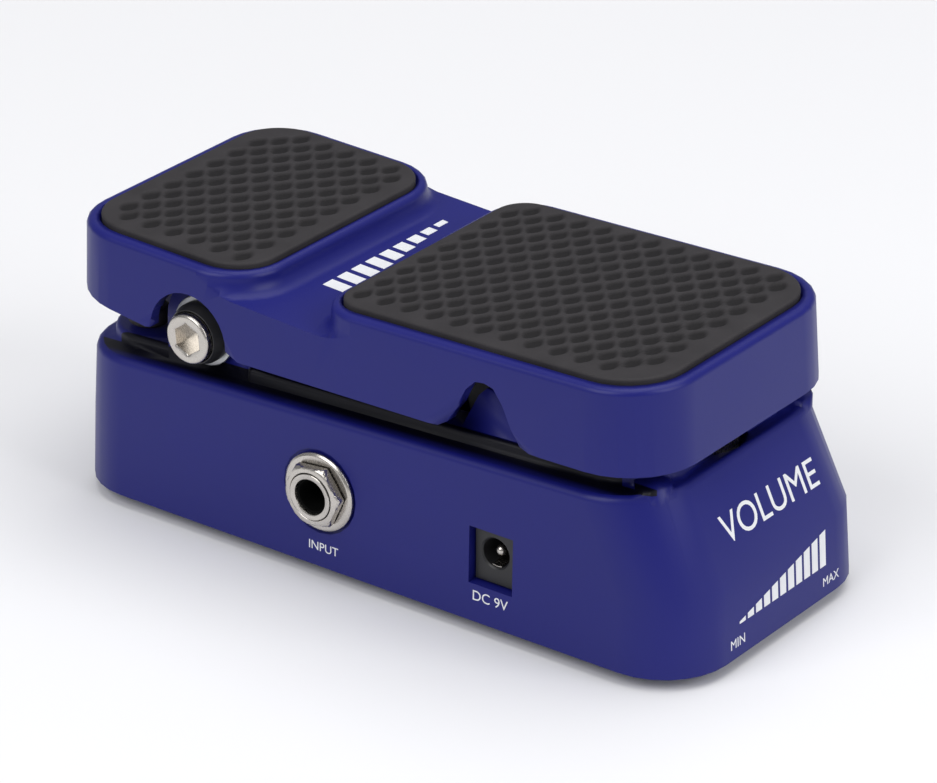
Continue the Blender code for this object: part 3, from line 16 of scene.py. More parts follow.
import bmesh
import bpy
import numpy as np
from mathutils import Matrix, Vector


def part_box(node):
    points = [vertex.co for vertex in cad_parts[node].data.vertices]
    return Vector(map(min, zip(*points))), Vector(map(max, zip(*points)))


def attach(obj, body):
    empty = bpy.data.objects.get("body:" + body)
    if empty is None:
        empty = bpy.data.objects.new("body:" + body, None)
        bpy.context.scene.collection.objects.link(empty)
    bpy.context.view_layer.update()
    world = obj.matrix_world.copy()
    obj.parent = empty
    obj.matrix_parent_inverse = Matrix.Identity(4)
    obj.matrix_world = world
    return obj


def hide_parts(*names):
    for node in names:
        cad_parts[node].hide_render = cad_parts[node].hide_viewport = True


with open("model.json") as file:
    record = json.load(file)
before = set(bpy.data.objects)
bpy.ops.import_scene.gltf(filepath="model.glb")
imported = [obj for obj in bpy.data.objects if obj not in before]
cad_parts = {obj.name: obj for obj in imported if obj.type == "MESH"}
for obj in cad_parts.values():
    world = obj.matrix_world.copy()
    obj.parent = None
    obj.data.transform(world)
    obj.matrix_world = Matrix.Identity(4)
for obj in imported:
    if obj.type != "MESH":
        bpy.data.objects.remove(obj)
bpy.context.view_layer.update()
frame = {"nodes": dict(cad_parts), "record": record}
MM = 0.001
BODY_OF = {node: body
           for body, nodes in frame["record"]["behaviour"]["bodies"].items()
           for node in nodes}
SLOT_OF = {entry["node"]: entry["material_slot"] for entry in frame["record"]["subparts"]}

# %% [markdown]
# ## Camera, light and floor
#
# A small product is usually shot with a long lens from some way off, which keeps its edges nearly
# parallel. The camera is set by where it looks, how far round and how high it stands, and its
# distance. Those four numbers are easier to think about than a place and three angles.

# %% Set the camera
LOOK_AT = Vector((-0.00423, 0.00694, 0.0247))
ROUND_DEG = 36.9        # how far round from the side view
ABOVE_DEG = 25.89
LEAN_DEG = -0.1
AWAY = 0.904
LENS = 185.5            # for a 36 mm wide sensor


def towards(round_deg, above_deg):
    """Unit vector from the object to a place so far round from -Y and so far above the floor."""
    turn, rise = math.radians(round_deg), math.radians(above_deg)
    return Vector((math.sin(turn) * math.cos(rise), -math.cos(turn) * math.cos(rise),
                   math.sin(rise)))


back = towards(ROUND_DEG, ABOVE_DEG)
camera = bpy.data.objects.new("camera", bpy.data.cameras.new("camera"))
bpy.context.scene.collection.objects.link(camera)
camera.data.lens = LENS
camera.data.sensor_width = 36.0
camera.location = LOOK_AT + back * AWAY
camera.rotation_euler = back.to_track_quat("Z", "Y").to_euler()
camera.rotation_euler.rotate_axis("Z", math.radians(LEAN_DEG))
bpy.context.scene.camera = camera
print("camera at", [round(v, 3) for v in camera.location])

# %% [markdown]
# Soft studio light comes from large panels: the larger a panel looks from the object, the softer
# its shadow and the broader its highlight. One panel overhead carries most of the light, one off
# the toe end brightens the end faces, and a low one fills the long side. A pale world keeps the
# shadows open.

# %% Light the set
PANELS = {
    "top_panel": ((0.10, 0.30, 1.40), 1.4, 13.0),
    "toe_panel": ((1.30, 0.10, 0.80), 0.9, 9.0),
    "side_panel": ((-0.25, -1.20, 1.15), 1.1, 13.0),
}
for name, (spot, size, power) in PANELS.items():
    lamp = bpy.data.lights.new(name, "AREA")
    lamp.shape = "SQUARE"
    lamp.size = size
    lamp.energy = power
    panel = bpy.data.objects.new(name, lamp)
    panel.location = spot
    panel.rotation_euler = Vector(spot).to_track_quat("Z", "Y").to_euler()
    bpy.context.scene.collection.objects.link(panel)

world = bpy.data.worlds.new("studio")
bpy.context.scene.world = world
world.use_nodes = True
world.node_tree.nodes["Background"].inputs["Color"].default_value = (0.95, 0.96, 1.0, 1.0)
world.node_tree.nodes["Background"].inputs["Strength"].default_value = 0.28
bpy.context.scene.view_settings.view_transform = "Standard"
print(len(PANELS), "panels")

# %% [markdown]
# ## Small tools for materials
#
# A material is a graph of nodes. This helper adds one node, sets its options, and either sets or
# links each input, so a finish can be read as a short list of steps.

# %% Node helpers


def add(tree, kind, inputs=None, **options):
    """Add a node; an input that is another node's output is linked, any other value is set."""
    node = tree.nodes.new(kind)
    for key, value in options.items():
        setattr(node, key, value)
    for key, value in (inputs or {}).items():
        if isinstance(value, bpy.types.NodeSocket):
            tree.links.new(value, node.inputs[key])
        else:
            node.inputs[key].default_value = value
    return node


def finish(name, **constants):
    """A new material with one Principled shader; constants go straight on the shader's sockets."""
    made = bpy.data.materials.new(name)
    made.use_nodes = True
    tree = made.node_tree
    shader = tree.nodes["Principled BSDF"]
    for key, value in constants.items():
        shader.inputs[key.replace("_", " ")].default_value = value
    place = add(tree, "ShaderNodeTexCoord").outputs["Object"]
    return made, tree, shader, place


def grain(tree, place, scale, detail=3.0, rough=0.55, stretch=(1.0, 1.0, 1.0)):
    """Noise with `scale` features per metre, which may be stretched along an axis."""
    at = add(tree, "ShaderNodeMapping", {"Vector": place, "Scale": stretch}).outputs["Vector"]
    return add(tree, "ShaderNodeTexNoise",
               {"Vector": at, "Scale": scale, "Detail": detail, "Roughness": rough}).outputs["Fac"]


def between(tree, amount, low, high):
    """Carry a 0 to 1 pattern to a range of values."""
    return add(tree, "ShaderNodeMapRange",
               {"Value": amount, "From Min": 0.25, "From Max": 0.75,
                "To Min": low, "To Max": high}).outputs["Result"]


def two_tone(tree, amount, first, second):
    """Colour that runs from first to second with a pattern."""
    node = add(tree, "ShaderNodeMix", {"Factor": amount}, data_type="RGBA")
    node.inputs[6].default_value = (*first, 1.0)
    node.inputs[7].default_value = (*second, 1.0)
    return node.outputs[2]


def dent(tree, shader, height, strength, distance):
    """Small relief from a height pattern."""
    bump = add(tree, "ShaderNodeBump",
               {"Height": height, "Strength": strength, "Distance": distance})
    tree.links.new(bump.outputs["Normal"], shader.inputs["Normal"])


def feed(tree, shader, **sockets):
    for key, value in sockets.items():
        tree.links.new(value, shader.inputs[key.replace("_", " ")])


# %% [markdown]
# ## Blue paint
#
# The castings are sprayed with a deep blue satin paint. Up close such paint has a faint orange-
# peel relief, a very fine metallic grain, and patches where it dried a little glossier. Three
# noises at three sizes give those: millimetres for the relief, tenths for the grain, centimetres
# for the gloss. On the base the edge of the raised deck and the groove beside it are painted
# nearly black: this is painted shade, standing in for the shadow that the treadle's skirt casts
# there. That band is found from height and distance from the middle.

# %% Make the blue paint
BLUE_DEEP = (0.0085, 0.0105, 0.150)
BLUE_LIGHT = (0.0120, 0.0140, 0.178)
# painted shade: a near-black blue for the band under the treadle's skirt, standing in for its shadow
PAINTED_SHADE_BLUE = (0.0010, 0.0010, 0.0060)
STEP_FROM_MIDDLE = 0.0246   # the raised deck's edge and the groove beside it start here
GROOVE_FADE = (0.0275, 0.0300)
DECK_CLIMB = 0.040
STEP_HEIGHT = 0.03435       # middle of the edge's height, at the middle of the pedal
STEP_HALF = 0.0013


def skirt_shade_mask(tree, place):
    """1 on the raised deck's edge and in the groove beside it, which are painted nearly black as
    painted shade for the skirt's shadow, fading to 0 on the open shoulder."""
    axes = add(tree, "ShaderNodeSeparateXYZ", {"Vector": place}).outputs
    out = add(tree, "ShaderNodeMath", {0: axes["Y"]}, operation="ABSOLUTE").outputs[0]
    far = add(tree, "ShaderNodeMath", {0: out, 1: STEP_FROM_MIDDLE},
              operation="GREATER_THAN").outputs[0]
    fade = add(tree, "ShaderNodeMapRange", {"Value": out, "From Min": GROOVE_FADE[0],
                                            "From Max": GROOVE_FADE[1], "To Min": 1.0,
                                            "To Max": 0.0}).outputs["Result"]
    climb = add(tree, "ShaderNodeMath", {0: axes["X"], 1: -DECK_CLIMB, 2: axes["Z"]},
                operation="MULTIPLY_ADD").outputs[0]
    level = add(tree, "ShaderNodeMath", {0: climb, 1: STEP_HEIGHT, 2: STEP_HALF},
                operation="COMPARE").outputs[0]
    side = add(tree, "ShaderNodeMath", {0: far, 1: fade}, operation="MULTIPLY").outputs[0]
    return add(tree, "ShaderNodeMath", {0: side, 1: level}, operation="MULTIPLY").outputs[0]


def blue_paint(name, paints_skirt_shade=False):
    made, tree, shader, place = finish(name, IOR=1.5, Specular_IOR_Level=0.27,
                                       Coat_Weight=0.04, Coat_Roughness=0.25)
    patches = grain(tree, place, 38.0, detail=2.0)
    flake = grain(tree, place, 5200.0, detail=1.0)
    peel = grain(tree, place, 850.0, detail=2.0, rough=0.4)
    tone = add(tree, "ShaderNodeMath", {0: patches, 1: flake}, operation="MULTIPLY").outputs[0]
    spread = between(tree, tone, 0.0, 1.0)
    colour = two_tone(tree, spread, BLUE_DEEP, BLUE_LIGHT)
    # painted shade: the band under the skirt is mixed towards the near-black blue
    if paints_skirt_shade:
        mix = add(tree, "ShaderNodeMix", {"Factor": skirt_shade_mask(tree, place)}, data_type="RGBA")
        tree.links.new(colour, mix.inputs[6])
        mix.inputs[7].default_value = (*PAINTED_SHADE_BLUE, 1.0)
        colour = mix.outputs[2]
    feed(tree, shader, Base_Color=colour, Roughness=between(tree, patches, 0.36, 0.45))
    dent(tree, shader, peel, 0.10, 0.00006)
    return made


PAINT = blue_paint("blue_paint")
# the base's paint carries the painted shade under the skirt; the treadle's paint does not
BASE_PAINT_WITH_SHADE = blue_paint("base_blue_paint_with_shade", paints_skirt_shade=True)
print("finishes:", PAINT.name, BASE_PAINT_WITH_SHADE.name)

# %% [markdown]
# ## Rubber
#
# The pads, feet and stops are moulded rubber: nearly black, dull, with a fine matt grain left by
# the mould and a little pale dust. On the pads the colour in the moulded hollows is darkened by
# the pad's own "hollow" attribute, written when the pad is shaped: painted shade in the hollows.

# %% Make the rubber finishes
RUBBER_DARK = (0.020, 0.018, 0.020)
RUBBER_DUST = (0.040, 0.037, 0.040)
# painted shade: a darker rubber for the bottoms of the pad's hollows
HOLLOW_PAINTED_SHADE = (0.009, 0.008, 0.009)


def rubber(name, paints_hollow_shade):
    made, tree, shader, place = finish(name, IOR=1.48, Specular_IOR_Level=0.24)
    dust = grain(tree, place, 160.0, detail=4.0)
    matt = grain(tree, place, 4200.0, detail=2.0)
    colour = two_tone(tree, between(tree, dust, 0.3, 0.9), RUBBER_DARK, RUBBER_DUST)
    # painted shade: the colour goes darker with each hollow's depth
    if paints_hollow_shade:
        hollow = add(tree, "ShaderNodeAttribute", attribute_name="hollow").outputs["Fac"]
        mix = add(tree, "ShaderNodeMix", {"Factor": hollow}, data_type="RGBA")
        tree.links.new(colour, mix.inputs[6])
        mix.inputs[7].default_value = (*HOLLOW_PAINTED_SHADE, 1.0)
        colour = mix.outputs[2]
    feed(tree, shader, Base_Color=colour, Roughness=between(tree, dust, 0.55, 0.74))
    dent(tree, shader, matt, 0.25, 0.00004)
    return made


PAD_RUBBER = rubber("pad_rubber", True)
BLACK_RUBBER = rubber("black_rubber", False)
print("finishes:", PAD_RUBBER.name, BLACK_RUBBER.name)

# %% [markdown]
# ## Plated and sheet metal
#
# Nickel plate over a turned part shows faint rings from the lathe, so its noise is stretched
# until it becomes fine lines, and the lines change the roughness more than the colour. Zinc plate
# is greyer and cloudier. Both are metals, so the base colour is the colour of the reflection.

# %% Make the metal finishes


def metal(name, dark, light, rough_low, rough_high, line_stretch, cloud_scale):
    made, tree, shader, place = finish(name, Metallic=1.0)
    lines = grain(tree, place, 900.0, detail=2.0, stretch=line_stretch)
    clouds = grain(tree, place, cloud_scale, detail=4.0)
    feed(tree, shader, Base_Color=two_tone(tree, clouds, dark, light),
         Roughness=between(tree, lines, rough_low, rough_high))
    dent(tree, shader, lines, 0.012, 0.00001)
    return made


NICKEL = metal("nickel", (0.50, 0.47, 0.43), (0.62, 0.59, 0.55), 0.22, 0.30, (1.0, 6.0, 1.0), 120.0)
ZINC = metal("zinc_steel", (0.36, 0.37, 0.38), (0.52, 0.53, 0.53), 0.34, 0.50,
             (3.0, 1.0, 1.0), 420.0)
# painted shade: a zinc darkened almost to black, for the pot's body and bracket deep inside the housing
ZINC_PAINTED_SHADE = metal("zinc_painted_shade", (0.030, 0.030, 0.032), (0.055, 0.055, 0.058), 0.55, 0.70,
                  (3.0, 1.0, 1.0), 300.0)
print("finishes:", NICKEL.name, ZINC.name, ZINC_PAINTED_SHADE.name)

# %% [markdown]
# ## Moulded plastics, circuit board, lens and print
#
# Moulded plastic has the fine spark-eroded grain of its mould. Natural nylon is milky and lets a
# little light in. The circuit board is green lacquer over copper tracks, drawn with a brick
# pattern whose mortar lines stand for the tracks. The print is thick white ink, slightly uneven.

# %% Make the remaining finishes


def plastic(name, dark, light, rough_low, rough_high, relief=0.2, **constants):
    made, tree, shader, place = finish(name, IOR=1.5, **constants)
    mottle = grain(tree, place, 300.0)
    skin = grain(tree, place, 6500.0, detail=1.5)
    feed(tree, shader, Base_Color=two_tone(tree, mottle, dark, light),
         Roughness=between(tree, mottle, rough_low, rough_high))
    dent(tree, shader, skin, relief, 0.00003)
    return made


def circuit_board():
    made, tree, shader, place = finish("green_board", Coat_Weight=0.4, Coat_Roughness=0.2)
    tracks = add(tree, "ShaderNodeTexBrick", {"Vector": place, "Scale": 190.0, "Mortar Size": 0.06})
    tracks.inputs["Color1"].default_value = (0.010, 0.105, 0.040, 1.0)
    tracks.inputs["Color2"].default_value = (0.014, 0.125, 0.050, 1.0)
    tracks.inputs["Mortar"].default_value = (0.040, 0.200, 0.080, 1.0)
    cloud = grain(tree, place, 260.0)
    feed(tree, shader, Base_Color=tracks.outputs["Color"],
         Roughness=between(tree, cloud, 0.38, 0.55))
    dent(tree, shader, tracks.outputs["Fac"], 0.3, 0.00005)
    return made


BLACK_PLASTIC = plastic("black_plastic", (0.010, 0.010, 0.011), (0.020, 0.020, 0.022), 0.40, 0.55)
# painted shade: the lining's black is darker and duller than the other black plastic, standing in for
# the shade deep in the bore
LINING_WITH_BORE_SHADE = plastic("black_lining_bore_shade", (0.0015, 0.0015, 0.0015), (0.003, 0.003, 0.003), 0.80, 0.90,
                 relief=0.1, Specular_IOR_Level=0.1)
NYLON = plastic("white_nylon", (0.60, 0.59, 0.54), (0.74, 0.73, 0.68), 0.38, 0.50,
                Subsurface_Weight=0.2, Subsurface_Scale=0.001)
LENS = plastic("red_lens", (0.45, 0.015, 0.010), (0.62, 0.030, 0.020), 0.10, 0.18, relief=0.05,
               Transmission_Weight=0.35)
PRINT = plastic("white_print", (0.72, 0.73, 0.76), (0.82, 0.83, 0.85), 0.50, 0.62, relief=0.3)
BOARD = circuit_board()
FINISH_OF_SLOT = {"blue_paint": PAINT, "black_rubber": BLACK_RUBBER, "black_plastic": BLACK_PLASTIC,
                  "nickel": NICKEL, "zinc_steel": ZINC, "white_nylon": NYLON, "green_board": BOARD,
                  "red_lens": LENS}
print("finishes:", sorted(FINISH_OF_SLOT))

# %% [markdown]
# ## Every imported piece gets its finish
#
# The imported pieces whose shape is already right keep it, and only take a better material. The
# rest are hidden later, each by the finer piece that stands for it.

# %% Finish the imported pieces
for node, obj in frame["nodes"].items():
    obj.data.materials.clear()
    obj.data.materials.append(FINISH_OF_SLOT[SLOT_OF[node]])
# painted shade: the pot's body and bracket take the darkened zinc
for node in ("pot_body", "pot_bracket"):
    frame["nodes"][node].data.materials[0] = ZINC_PAINTED_SHADE
print("finished", len(frame["nodes"]), "pieces")

# %% [markdown]
# ## Small tools for shapes
#
# Nearly every new piece is a grid of points: rows along a profile, columns round an axis or along
# an edge. numpy works out the whole grid at once, and these helpers turn a grid into a closed
# mesh.

# %% Mesh helpers


def mesh_piece(name, points, faces, material, sharp_deg=35.0):
    """Closed mesh from points in metres; doubled points are merged and faces turned outward.
    A sharp_deg of zero leaves every face flat."""
    mesh = bpy.data.meshes.new(name)
    mesh.from_pydata(np.asarray(points).reshape(-1, 3).tolist(), [], [list(face) for face in faces])
    work = bmesh.new()
    work.from_mesh(mesh)
    bmesh.ops.remove_doubles(work, verts=work.verts[:], dist=1e-7)
    bmesh.ops.dissolve_degenerate(work, edges=work.edges[:], dist=1e-8)
    bmesh.ops.recalc_face_normals(work, faces=work.faces[:])
    work.to_mesh(mesh)
    work.free()
    if sharp_deg:
        mesh.shade_smooth()
        mesh.set_sharp_from_angle(angle=math.radians(sharp_deg))
    else:
        mesh.shade_flat()
    mesh.materials.append(material)
    obj = bpy.data.objects.new(name, mesh)
    bpy.context.scene.collection.objects.link(obj)
    return obj


def grid_faces(rows, cols, start=0, wrap=True):
    """Four-sided faces between neighbouring rows and columns of points numbered row by row."""
    row = np.arange(rows - 1)[:, None]
    col = np.arange(cols if wrap else cols - 1)[None, :]
    here = start + row * cols + col
    beside = start + row * cols + (col + 1) % cols
    return np.stack([here, beside, beside + cols, here + cols], axis=-1).reshape(-1, 4).tolist()


def stands_for(piece, *nodes):
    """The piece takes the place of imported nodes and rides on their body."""
    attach(piece, BODY_OF[nodes[0]])
    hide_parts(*nodes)
    return piece


# %% [markdown]
# ## The two castings
#
# The treadle and the base come packed as loose triangles, which would shade as flat facets. A
# copy with its doubled points merged can be shaded smoothly, with sharp edges only where two
# faces meet at a real corner. Weighted normals then keep the broad faces flat, because each
# corner's normal leans towards the largest face that meets there.

# %% Smooth the castings


def smooth_copy(node, sharp_deg=33.0):
    """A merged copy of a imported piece, smooth except at edges sharper than sharp_deg."""
    mesh = frame["nodes"][node].data.copy()
    work = bmesh.new()
    work.from_mesh(mesh)
    bmesh.ops.remove_doubles(work, verts=work.verts[:], dist=2e-7)
    work.to_mesh(mesh)
    work.free()
    mesh.name = node + "_skin"
    mesh.shade_smooth()
    mesh.set_sharp_from_angle(angle=math.radians(sharp_deg))
    obj = bpy.data.objects.new(node + "_skin", mesh)
    bpy.context.scene.collection.objects.link(obj)
    lean = obj.modifiers.new("lean", "WEIGHTED_NORMAL")
    lean.keep_sharp = True
    lean.weight = 60
    return stands_for(obj, node)


for node, paint in (("base_housing", BASE_PAINT_WITH_SHADE), ("treadle", PAINT)):
    skin = smooth_copy(node)
    skin.data.materials[0] = paint
    print(skin.name, len(skin.data.polygons), "faces")

# %% [markdown]
# ## Rubber pads
#
# Each pad is a rounded rectangle with a moulded pattern: staggered rows of pointed oval hollows,
# 5.45 mm apart along the pad and 6.36 mm across it, with thin ridges between them and a plain
# band at the edge. The pattern could be a bump, but real hollows catch light and hold shadow from
# every side, so the top is a fine grid whose height dips at each hollow.

# %% Pad plan
HOLLOW_ALONG = 5.45
HOLLOW_ACROSS = 6.36
HOLLOW_HALF_ALONG = 1.75
HOLLOW_HALF_ACROSS = 2.55
HOLLOW_DEPTH = 0.42
PAD_BAND = 3.1          # plain edge: nearest centre of a hollow
PAD_EDGE = 0.5


def half_width(x, span, half, radii, inset=0.0):
    """Half the pad's width at x: full in the middle, a quarter circle less near each end."""
    (start, end), (r_start, r_end) = span, radii
    from_start = np.clip(r_start - inset - (x - start - inset), 0, None)
    from_end = np.clip(r_end - inset - (end - inset - x), 0, None)

    def cut(radius, away):
        """How much a quarter circle of this radius takes off at this distance past its centre."""
        return radius - np.sqrt(np.clip(radius ** 2 - away ** 2, 0, None))

    return half - inset - cut(r_start - inset, from_start) - cut(r_end - inset, from_end)


def pad_grid(span, half, radii, inset, step=0.42, turn_steps=26):
    """Plan points of a pad: even steps along the middle, finer ones round the corners."""
    (start, end), (r_start, r_end) = span, radii
    quarter = np.linspace(0, math.pi / 2, turn_steps)
    first = start + inset + (r_start - inset) * (1 - np.cos(quarter))
    last = end - inset - (r_end - inset) * (1 - np.cos(quarter[::-1]))
    run = last[0] - first[-1]
    x = np.concatenate([first, np.linspace(first[-1], last[0], int(run / step))[1:-1], last])
    across = np.linspace(-1, 1, int(2 * half / step))
    width = half_width(x, span, half, radii, inset)
    return np.broadcast_to(x[:, None], (x.size, across.size)), width[:, None] * across[None, :]


# %% [markdown]
# ## The pattern of hollows
#
# Two sets of rows lie half a step apart each way, which is what staggers them. For any point the
# nearest centre of each set is found by rounding, so the whole pattern is worked out at once,
# with no list of hollows. A power a little over 1.5 gives the oval its pointed ends.

# %% Pattern of hollows
OVAL_POWER = 1.55
WALL_START, WALL_RUN = 1.12, 0.62


def hollows(x, y, span, half, radii, phase):
    """Depth from 0 to 1 of the pattern: for each of two interleaved sets of rows, the nearest centre is
    found, a pointed oval is measured from it, and a smooth step gives its wall."""
    depth = np.zeros_like(x)
    for shift in (0.0, 0.5):
        cell_x = np.round((x - phase[0]) / HOLLOW_ALONG - shift) + shift
        cell_y = np.round((y - phase[1]) / HOLLOW_ACROSS - shift) + shift
        centre_x = phase[0] + cell_x * HOLLOW_ALONG
        centre_y = phase[1] + cell_y * HOLLOW_ACROSS
        oval = (np.abs(x - centre_x) / HOLLOW_HALF_ALONG) ** OVAL_POWER \
            + (np.abs(y - centre_y) / HOLLOW_HALF_ACROSS) ** OVAL_POWER
        wall = np.clip((WALL_START - oval) / WALL_RUN, 0, 1)
        room = half_width(centre_x, span, half, radii, PAD_BAND)
        inside = (centre_x > span[0] + PAD_BAND) & (centre_x < span[1] - PAD_BAND) \
            & (np.abs(centre_y) <= room)
        depth = np.maximum(depth, np.where(inside, wall * wall * (3 - 2 * wall), 0))
    return depth


print("hollows every", HOLLOW_ALONG, "by", HOLLOW_ACROSS, "mm")

# %% [markdown]
# ## Shape a pad
#
# The top is the grid with its hollows. Its outer loop is then repeated a little farther out and
# lower each time, which rolls the edge over, and the last loop drops straight to the underside.
# Keeping the same number of points in every loop lets neighbouring loops be joined without gaps.

# %% Shape a pad


def edge_loop(grid):
    """The points round the outside of a grid, in order."""
    return np.concatenate([grid[0, :-1], grid[:-1, -1], grid[-1, :0:-1], grid[:0:-1, 0]])


def pad(node, radii, tilt, phase):
    """Top grid z = level(x) - depth(x, y), rings that roll its edge over, then the underside."""
    low, high = (np.array(corner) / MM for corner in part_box(node))
    span, half = (low[0], high[0]), high[1]
    top_at_high_end = high[2]
    high_end = span[1] if tilt > 0 else span[0]

    def level(x):
        return top_at_high_end + tilt * (x - high_end)

    x, y = pad_grid(span, half, radii, PAD_EDGE)
    depth = hollows(x, y, span, half, radii, phase)
    top = np.stack([x, y, level(x) - HOLLOW_DEPTH * depth], axis=-1)
    points = [top.reshape(-1, 3)]
    rows, cols = x.shape
    faces = grid_faces(rows, cols, wrap=False)
    ids = np.arange(rows * cols).reshape(rows, cols)
    rim = edge_loop(ids)
    rings = [rim]
    count = rows * cols
    quarter = np.linspace(0, math.pi / 2, 5)[1:]
    steps = [(PAD_EDGE * (1 - math.sin(t)), PAD_EDGE * (1 - math.cos(t))) for t in quarter]
    thick = high[2] - low[2] - abs(tilt) * (span[1] - span[0])
    steps.append((0.0, thick))
    for inset, below in steps:
        gx, gy = pad_grid(span, half, radii, inset)
        gx, gy = edge_loop(resample(gx, rows, cols)), edge_loop(resample(gy, rows, cols))
        points.append(np.stack([gx, gy, level(gx) - below], axis=-1))
        rings.append(np.arange(count, count + rim.size))
        count += rim.size
    for upper, lower in zip(rings, rings[1:]):
        faces += np.stack([upper, np.roll(upper, -1), np.roll(lower, -1), lower], axis=-1).tolist()
    faces.append(rings[-1].tolist())
    piece = mesh_piece(node + "_moulded", np.concatenate(points) * MM, faces, PAD_RUBBER, 50.0)
    store_hollows(piece, span, half, radii, phase)
    return stands_for(piece, node)


def resample(grid, rows, cols):
    """The same grid with another number of rows and columns, by straight interpolation."""
    at_row = np.linspace(0, grid.shape[0] - 1, rows)
    at_col = np.linspace(0, grid.shape[1] - 1, cols)
    low_r = np.clip(at_row.astype(int), 0, grid.shape[0] - 2)
    low_c = np.clip(at_col.astype(int), 0, grid.shape[1] - 2)
    part_r = (at_row - low_r)[:, None]
    part_c = (at_col - low_c)[None, :]
    a, b = grid[low_r][:, low_c], grid[low_r][:, low_c + 1]
    c, d = grid[low_r + 1][:, low_c], grid[low_r + 1][:, low_c + 1]
    return a * (1 - part_r) * (1 - part_c) + b * (1 - part_r) * part_c \
        + c * part_r * (1 - part_c) + d * part_r * part_c


def store_hollows(piece, span, half, radii, phase):
    """Write each point's depth in the pattern to the attribute that the rubber darkens by, as painted
    shade.
    """
    mesh = piece.data
    places = np.empty(len(mesh.vertices) * 3)
    mesh.vertices.foreach_get("co", places)
    places = places.reshape(-1, 3) / MM
    depth = hollows(places[:, 0], places[:, 1], span, half, radii, phase)
    written = mesh.attributes.new("hollow", "FLOAT", "POINT")
    written.data.foreach_set("value", depth.astype(np.float32))


for node, radii, tilt, phase in (("heel_pad", (9.45, 8.75), -0.0322, (-60.5, -23.2)),
                                 ("toe_pad", (6.15, 11.45), 0.0238, (0.0, -23.2))):
    piece = pad(node, radii, tilt, phase)
    print(piece.name, len(piece.data.polygons), "faces")

# %% [markdown]
# ## Turned pieces
#
# Bolts, nuts, washers, sleeves, feet and stops are all made by carrying a profile round an axis.
# A nut and a hex socket need only one change: in each direction the distance from the axis is the
# nearer of the profile's radius and the side of a hexagon. That rule also gives a nut its curved
# chamfer, for free, because a cone cuts the hexagon only at its corners.

# %% Turn a profile


def reach(turn, radius, flats):
    """Distance from the axis in each direction: a circle, cut by a hexagon if there is one."""
    if flats is None:
        return np.full_like(turn, radius)
    off = np.mod(turn, math.pi / 3) - math.pi / 6
    return np.minimum(flats / 2 / np.cos(off), radius)


def eased(profile, amount, steps=4):
    """Round every corner of a profile that isn't on the axis, by a small curve drawn inside it."""
    result = []
    count = len(profile)
    for i, here in enumerate(profile):
        before, after = profile[i - 1], profile[(i + 1) % count]
        if here[0] == 0:
            result.append(here)
            continue
        p, a, b = (np.array(q[:2], float) for q in (here, before, after))
        back_way, on_way = a - p, b - p
        start = p + back_way * min(amount / np.linalg.norm(back_way), 0.45)
        end = p + on_way * min(amount / np.linalg.norm(on_way), 0.45)
        for t in np.linspace(0, 1, steps):
            spot = start * (1 - t) ** 2 + p * 2 * t * (1 - t) + end * t ** 2
            result.append((float(spot[0]), float(spot[1])) + tuple(here[2:]))
    return result


def turned(name, profile, axis, centre, material, side=1, steps=96, turn_deg=0.0):
    """Carry a profile of (radius, height, flats) round an axis through centre, in millimetres.
    Height runs outward along the axis, to the side given."""
    turn = np.linspace(0, 2 * math.pi, steps, endpoint=False)
    rows = [tuple(row) + (None,) * (3 - len(row)) for row in profile]
    if rows[0][0] > 0:
        rows.append(rows[0])
    out = np.stack([reach(turn, radius, flats) for radius, _, flats in rows])
    high = np.repeat(np.array([[height] for _, height, _ in rows], float), steps, axis=1) * side
    spin = turn + math.radians(turn_deg)
    wide, deep = out * np.cos(spin), out * np.sin(spin)
    grid = {"x": (high, wide, deep), "y": (wide, high, deep), "z": (wide, deep, high)}[axis]
    points = np.stack(grid, axis=-1) + np.array(centre, float)
    return mesh_piece(name, points * MM, grid_faces(len(rows), steps), material)


def sizes(node):
    """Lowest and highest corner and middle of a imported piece, in millimetres."""
    low, high = (np.array(corner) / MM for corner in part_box(node))
    return low, high, (low + high) / 2


# %% [markdown]
# ## Pivot bolts
#
# The treadle swings on a low socket head bolt each side. The head is turned, lightly domed at its
# rim, and has a broached hex socket with a small lead-in. It sits in a black plastic cup that
# narrows to meet it, with a thin zinc washer behind. A screw primitive would give a plain hexagon
# and a sharp rim; a turned profile gives the rim its roll and the socket its lead-in in one go.

# %% Pivot bolts, cups and washers
SOCKET_FLATS = 5.5
SOCKET_DEEP = 3.3
LEAD_IN = 0.25          # how far the socket's mouth runs in before its flats are full
MOUTH = 0.62            # radius of the mouth, as a share of the flats
PAST_FLATS = 20.0       # a radius beyond any hexagon, so that only the flats count
BOLT_SHANK = 3.0
BOLT_LEAD = 0.3
HEAD_TALL = 3.6
HEAD_FACE_IN = 0.9
HEAD_RIM = ((0.1, HEAD_TALL), (0.0, HEAD_TALL - 0.15), (0.0, 0.55), (0.12, 0.25), (0.35, 0.07),
            (0.6, 0.0))  # (inward, below the face) round the edge of the head
HEAD_TURN = 35.0
WASHER_HOLE = 4.5
WASHER_THICK = 0.8
BUSH_HOLE, BUSH_WALL_OUT = 3.1, 4.1
CUP_DEEP = 2.4
CUP_FLOOR = 0.8
CUP_WALL, CUP_RIM = 0.95, 0.75
CUP_STRAIGHT = 0.4


def socket_head(radius, face, flats, deep):
    """Profile from the rim of a head inward: face, lead-in, hexagonal wall and floor."""
    return [(radius, face), (flats * MOUTH, face), (PAST_FLATS, face - LEAD_IN, flats),
            (PAST_FLATS, face - deep, flats), (flats * 0.2, face - deep - 0.02),
            (0, face - deep - 0.03)]


def ends(node):
    """How far a piece reaches from the middle of the pedal: its inner and its outer end."""
    low, high, _ = sizes(node)
    return sorted((abs(low[1]), abs(high[1])))


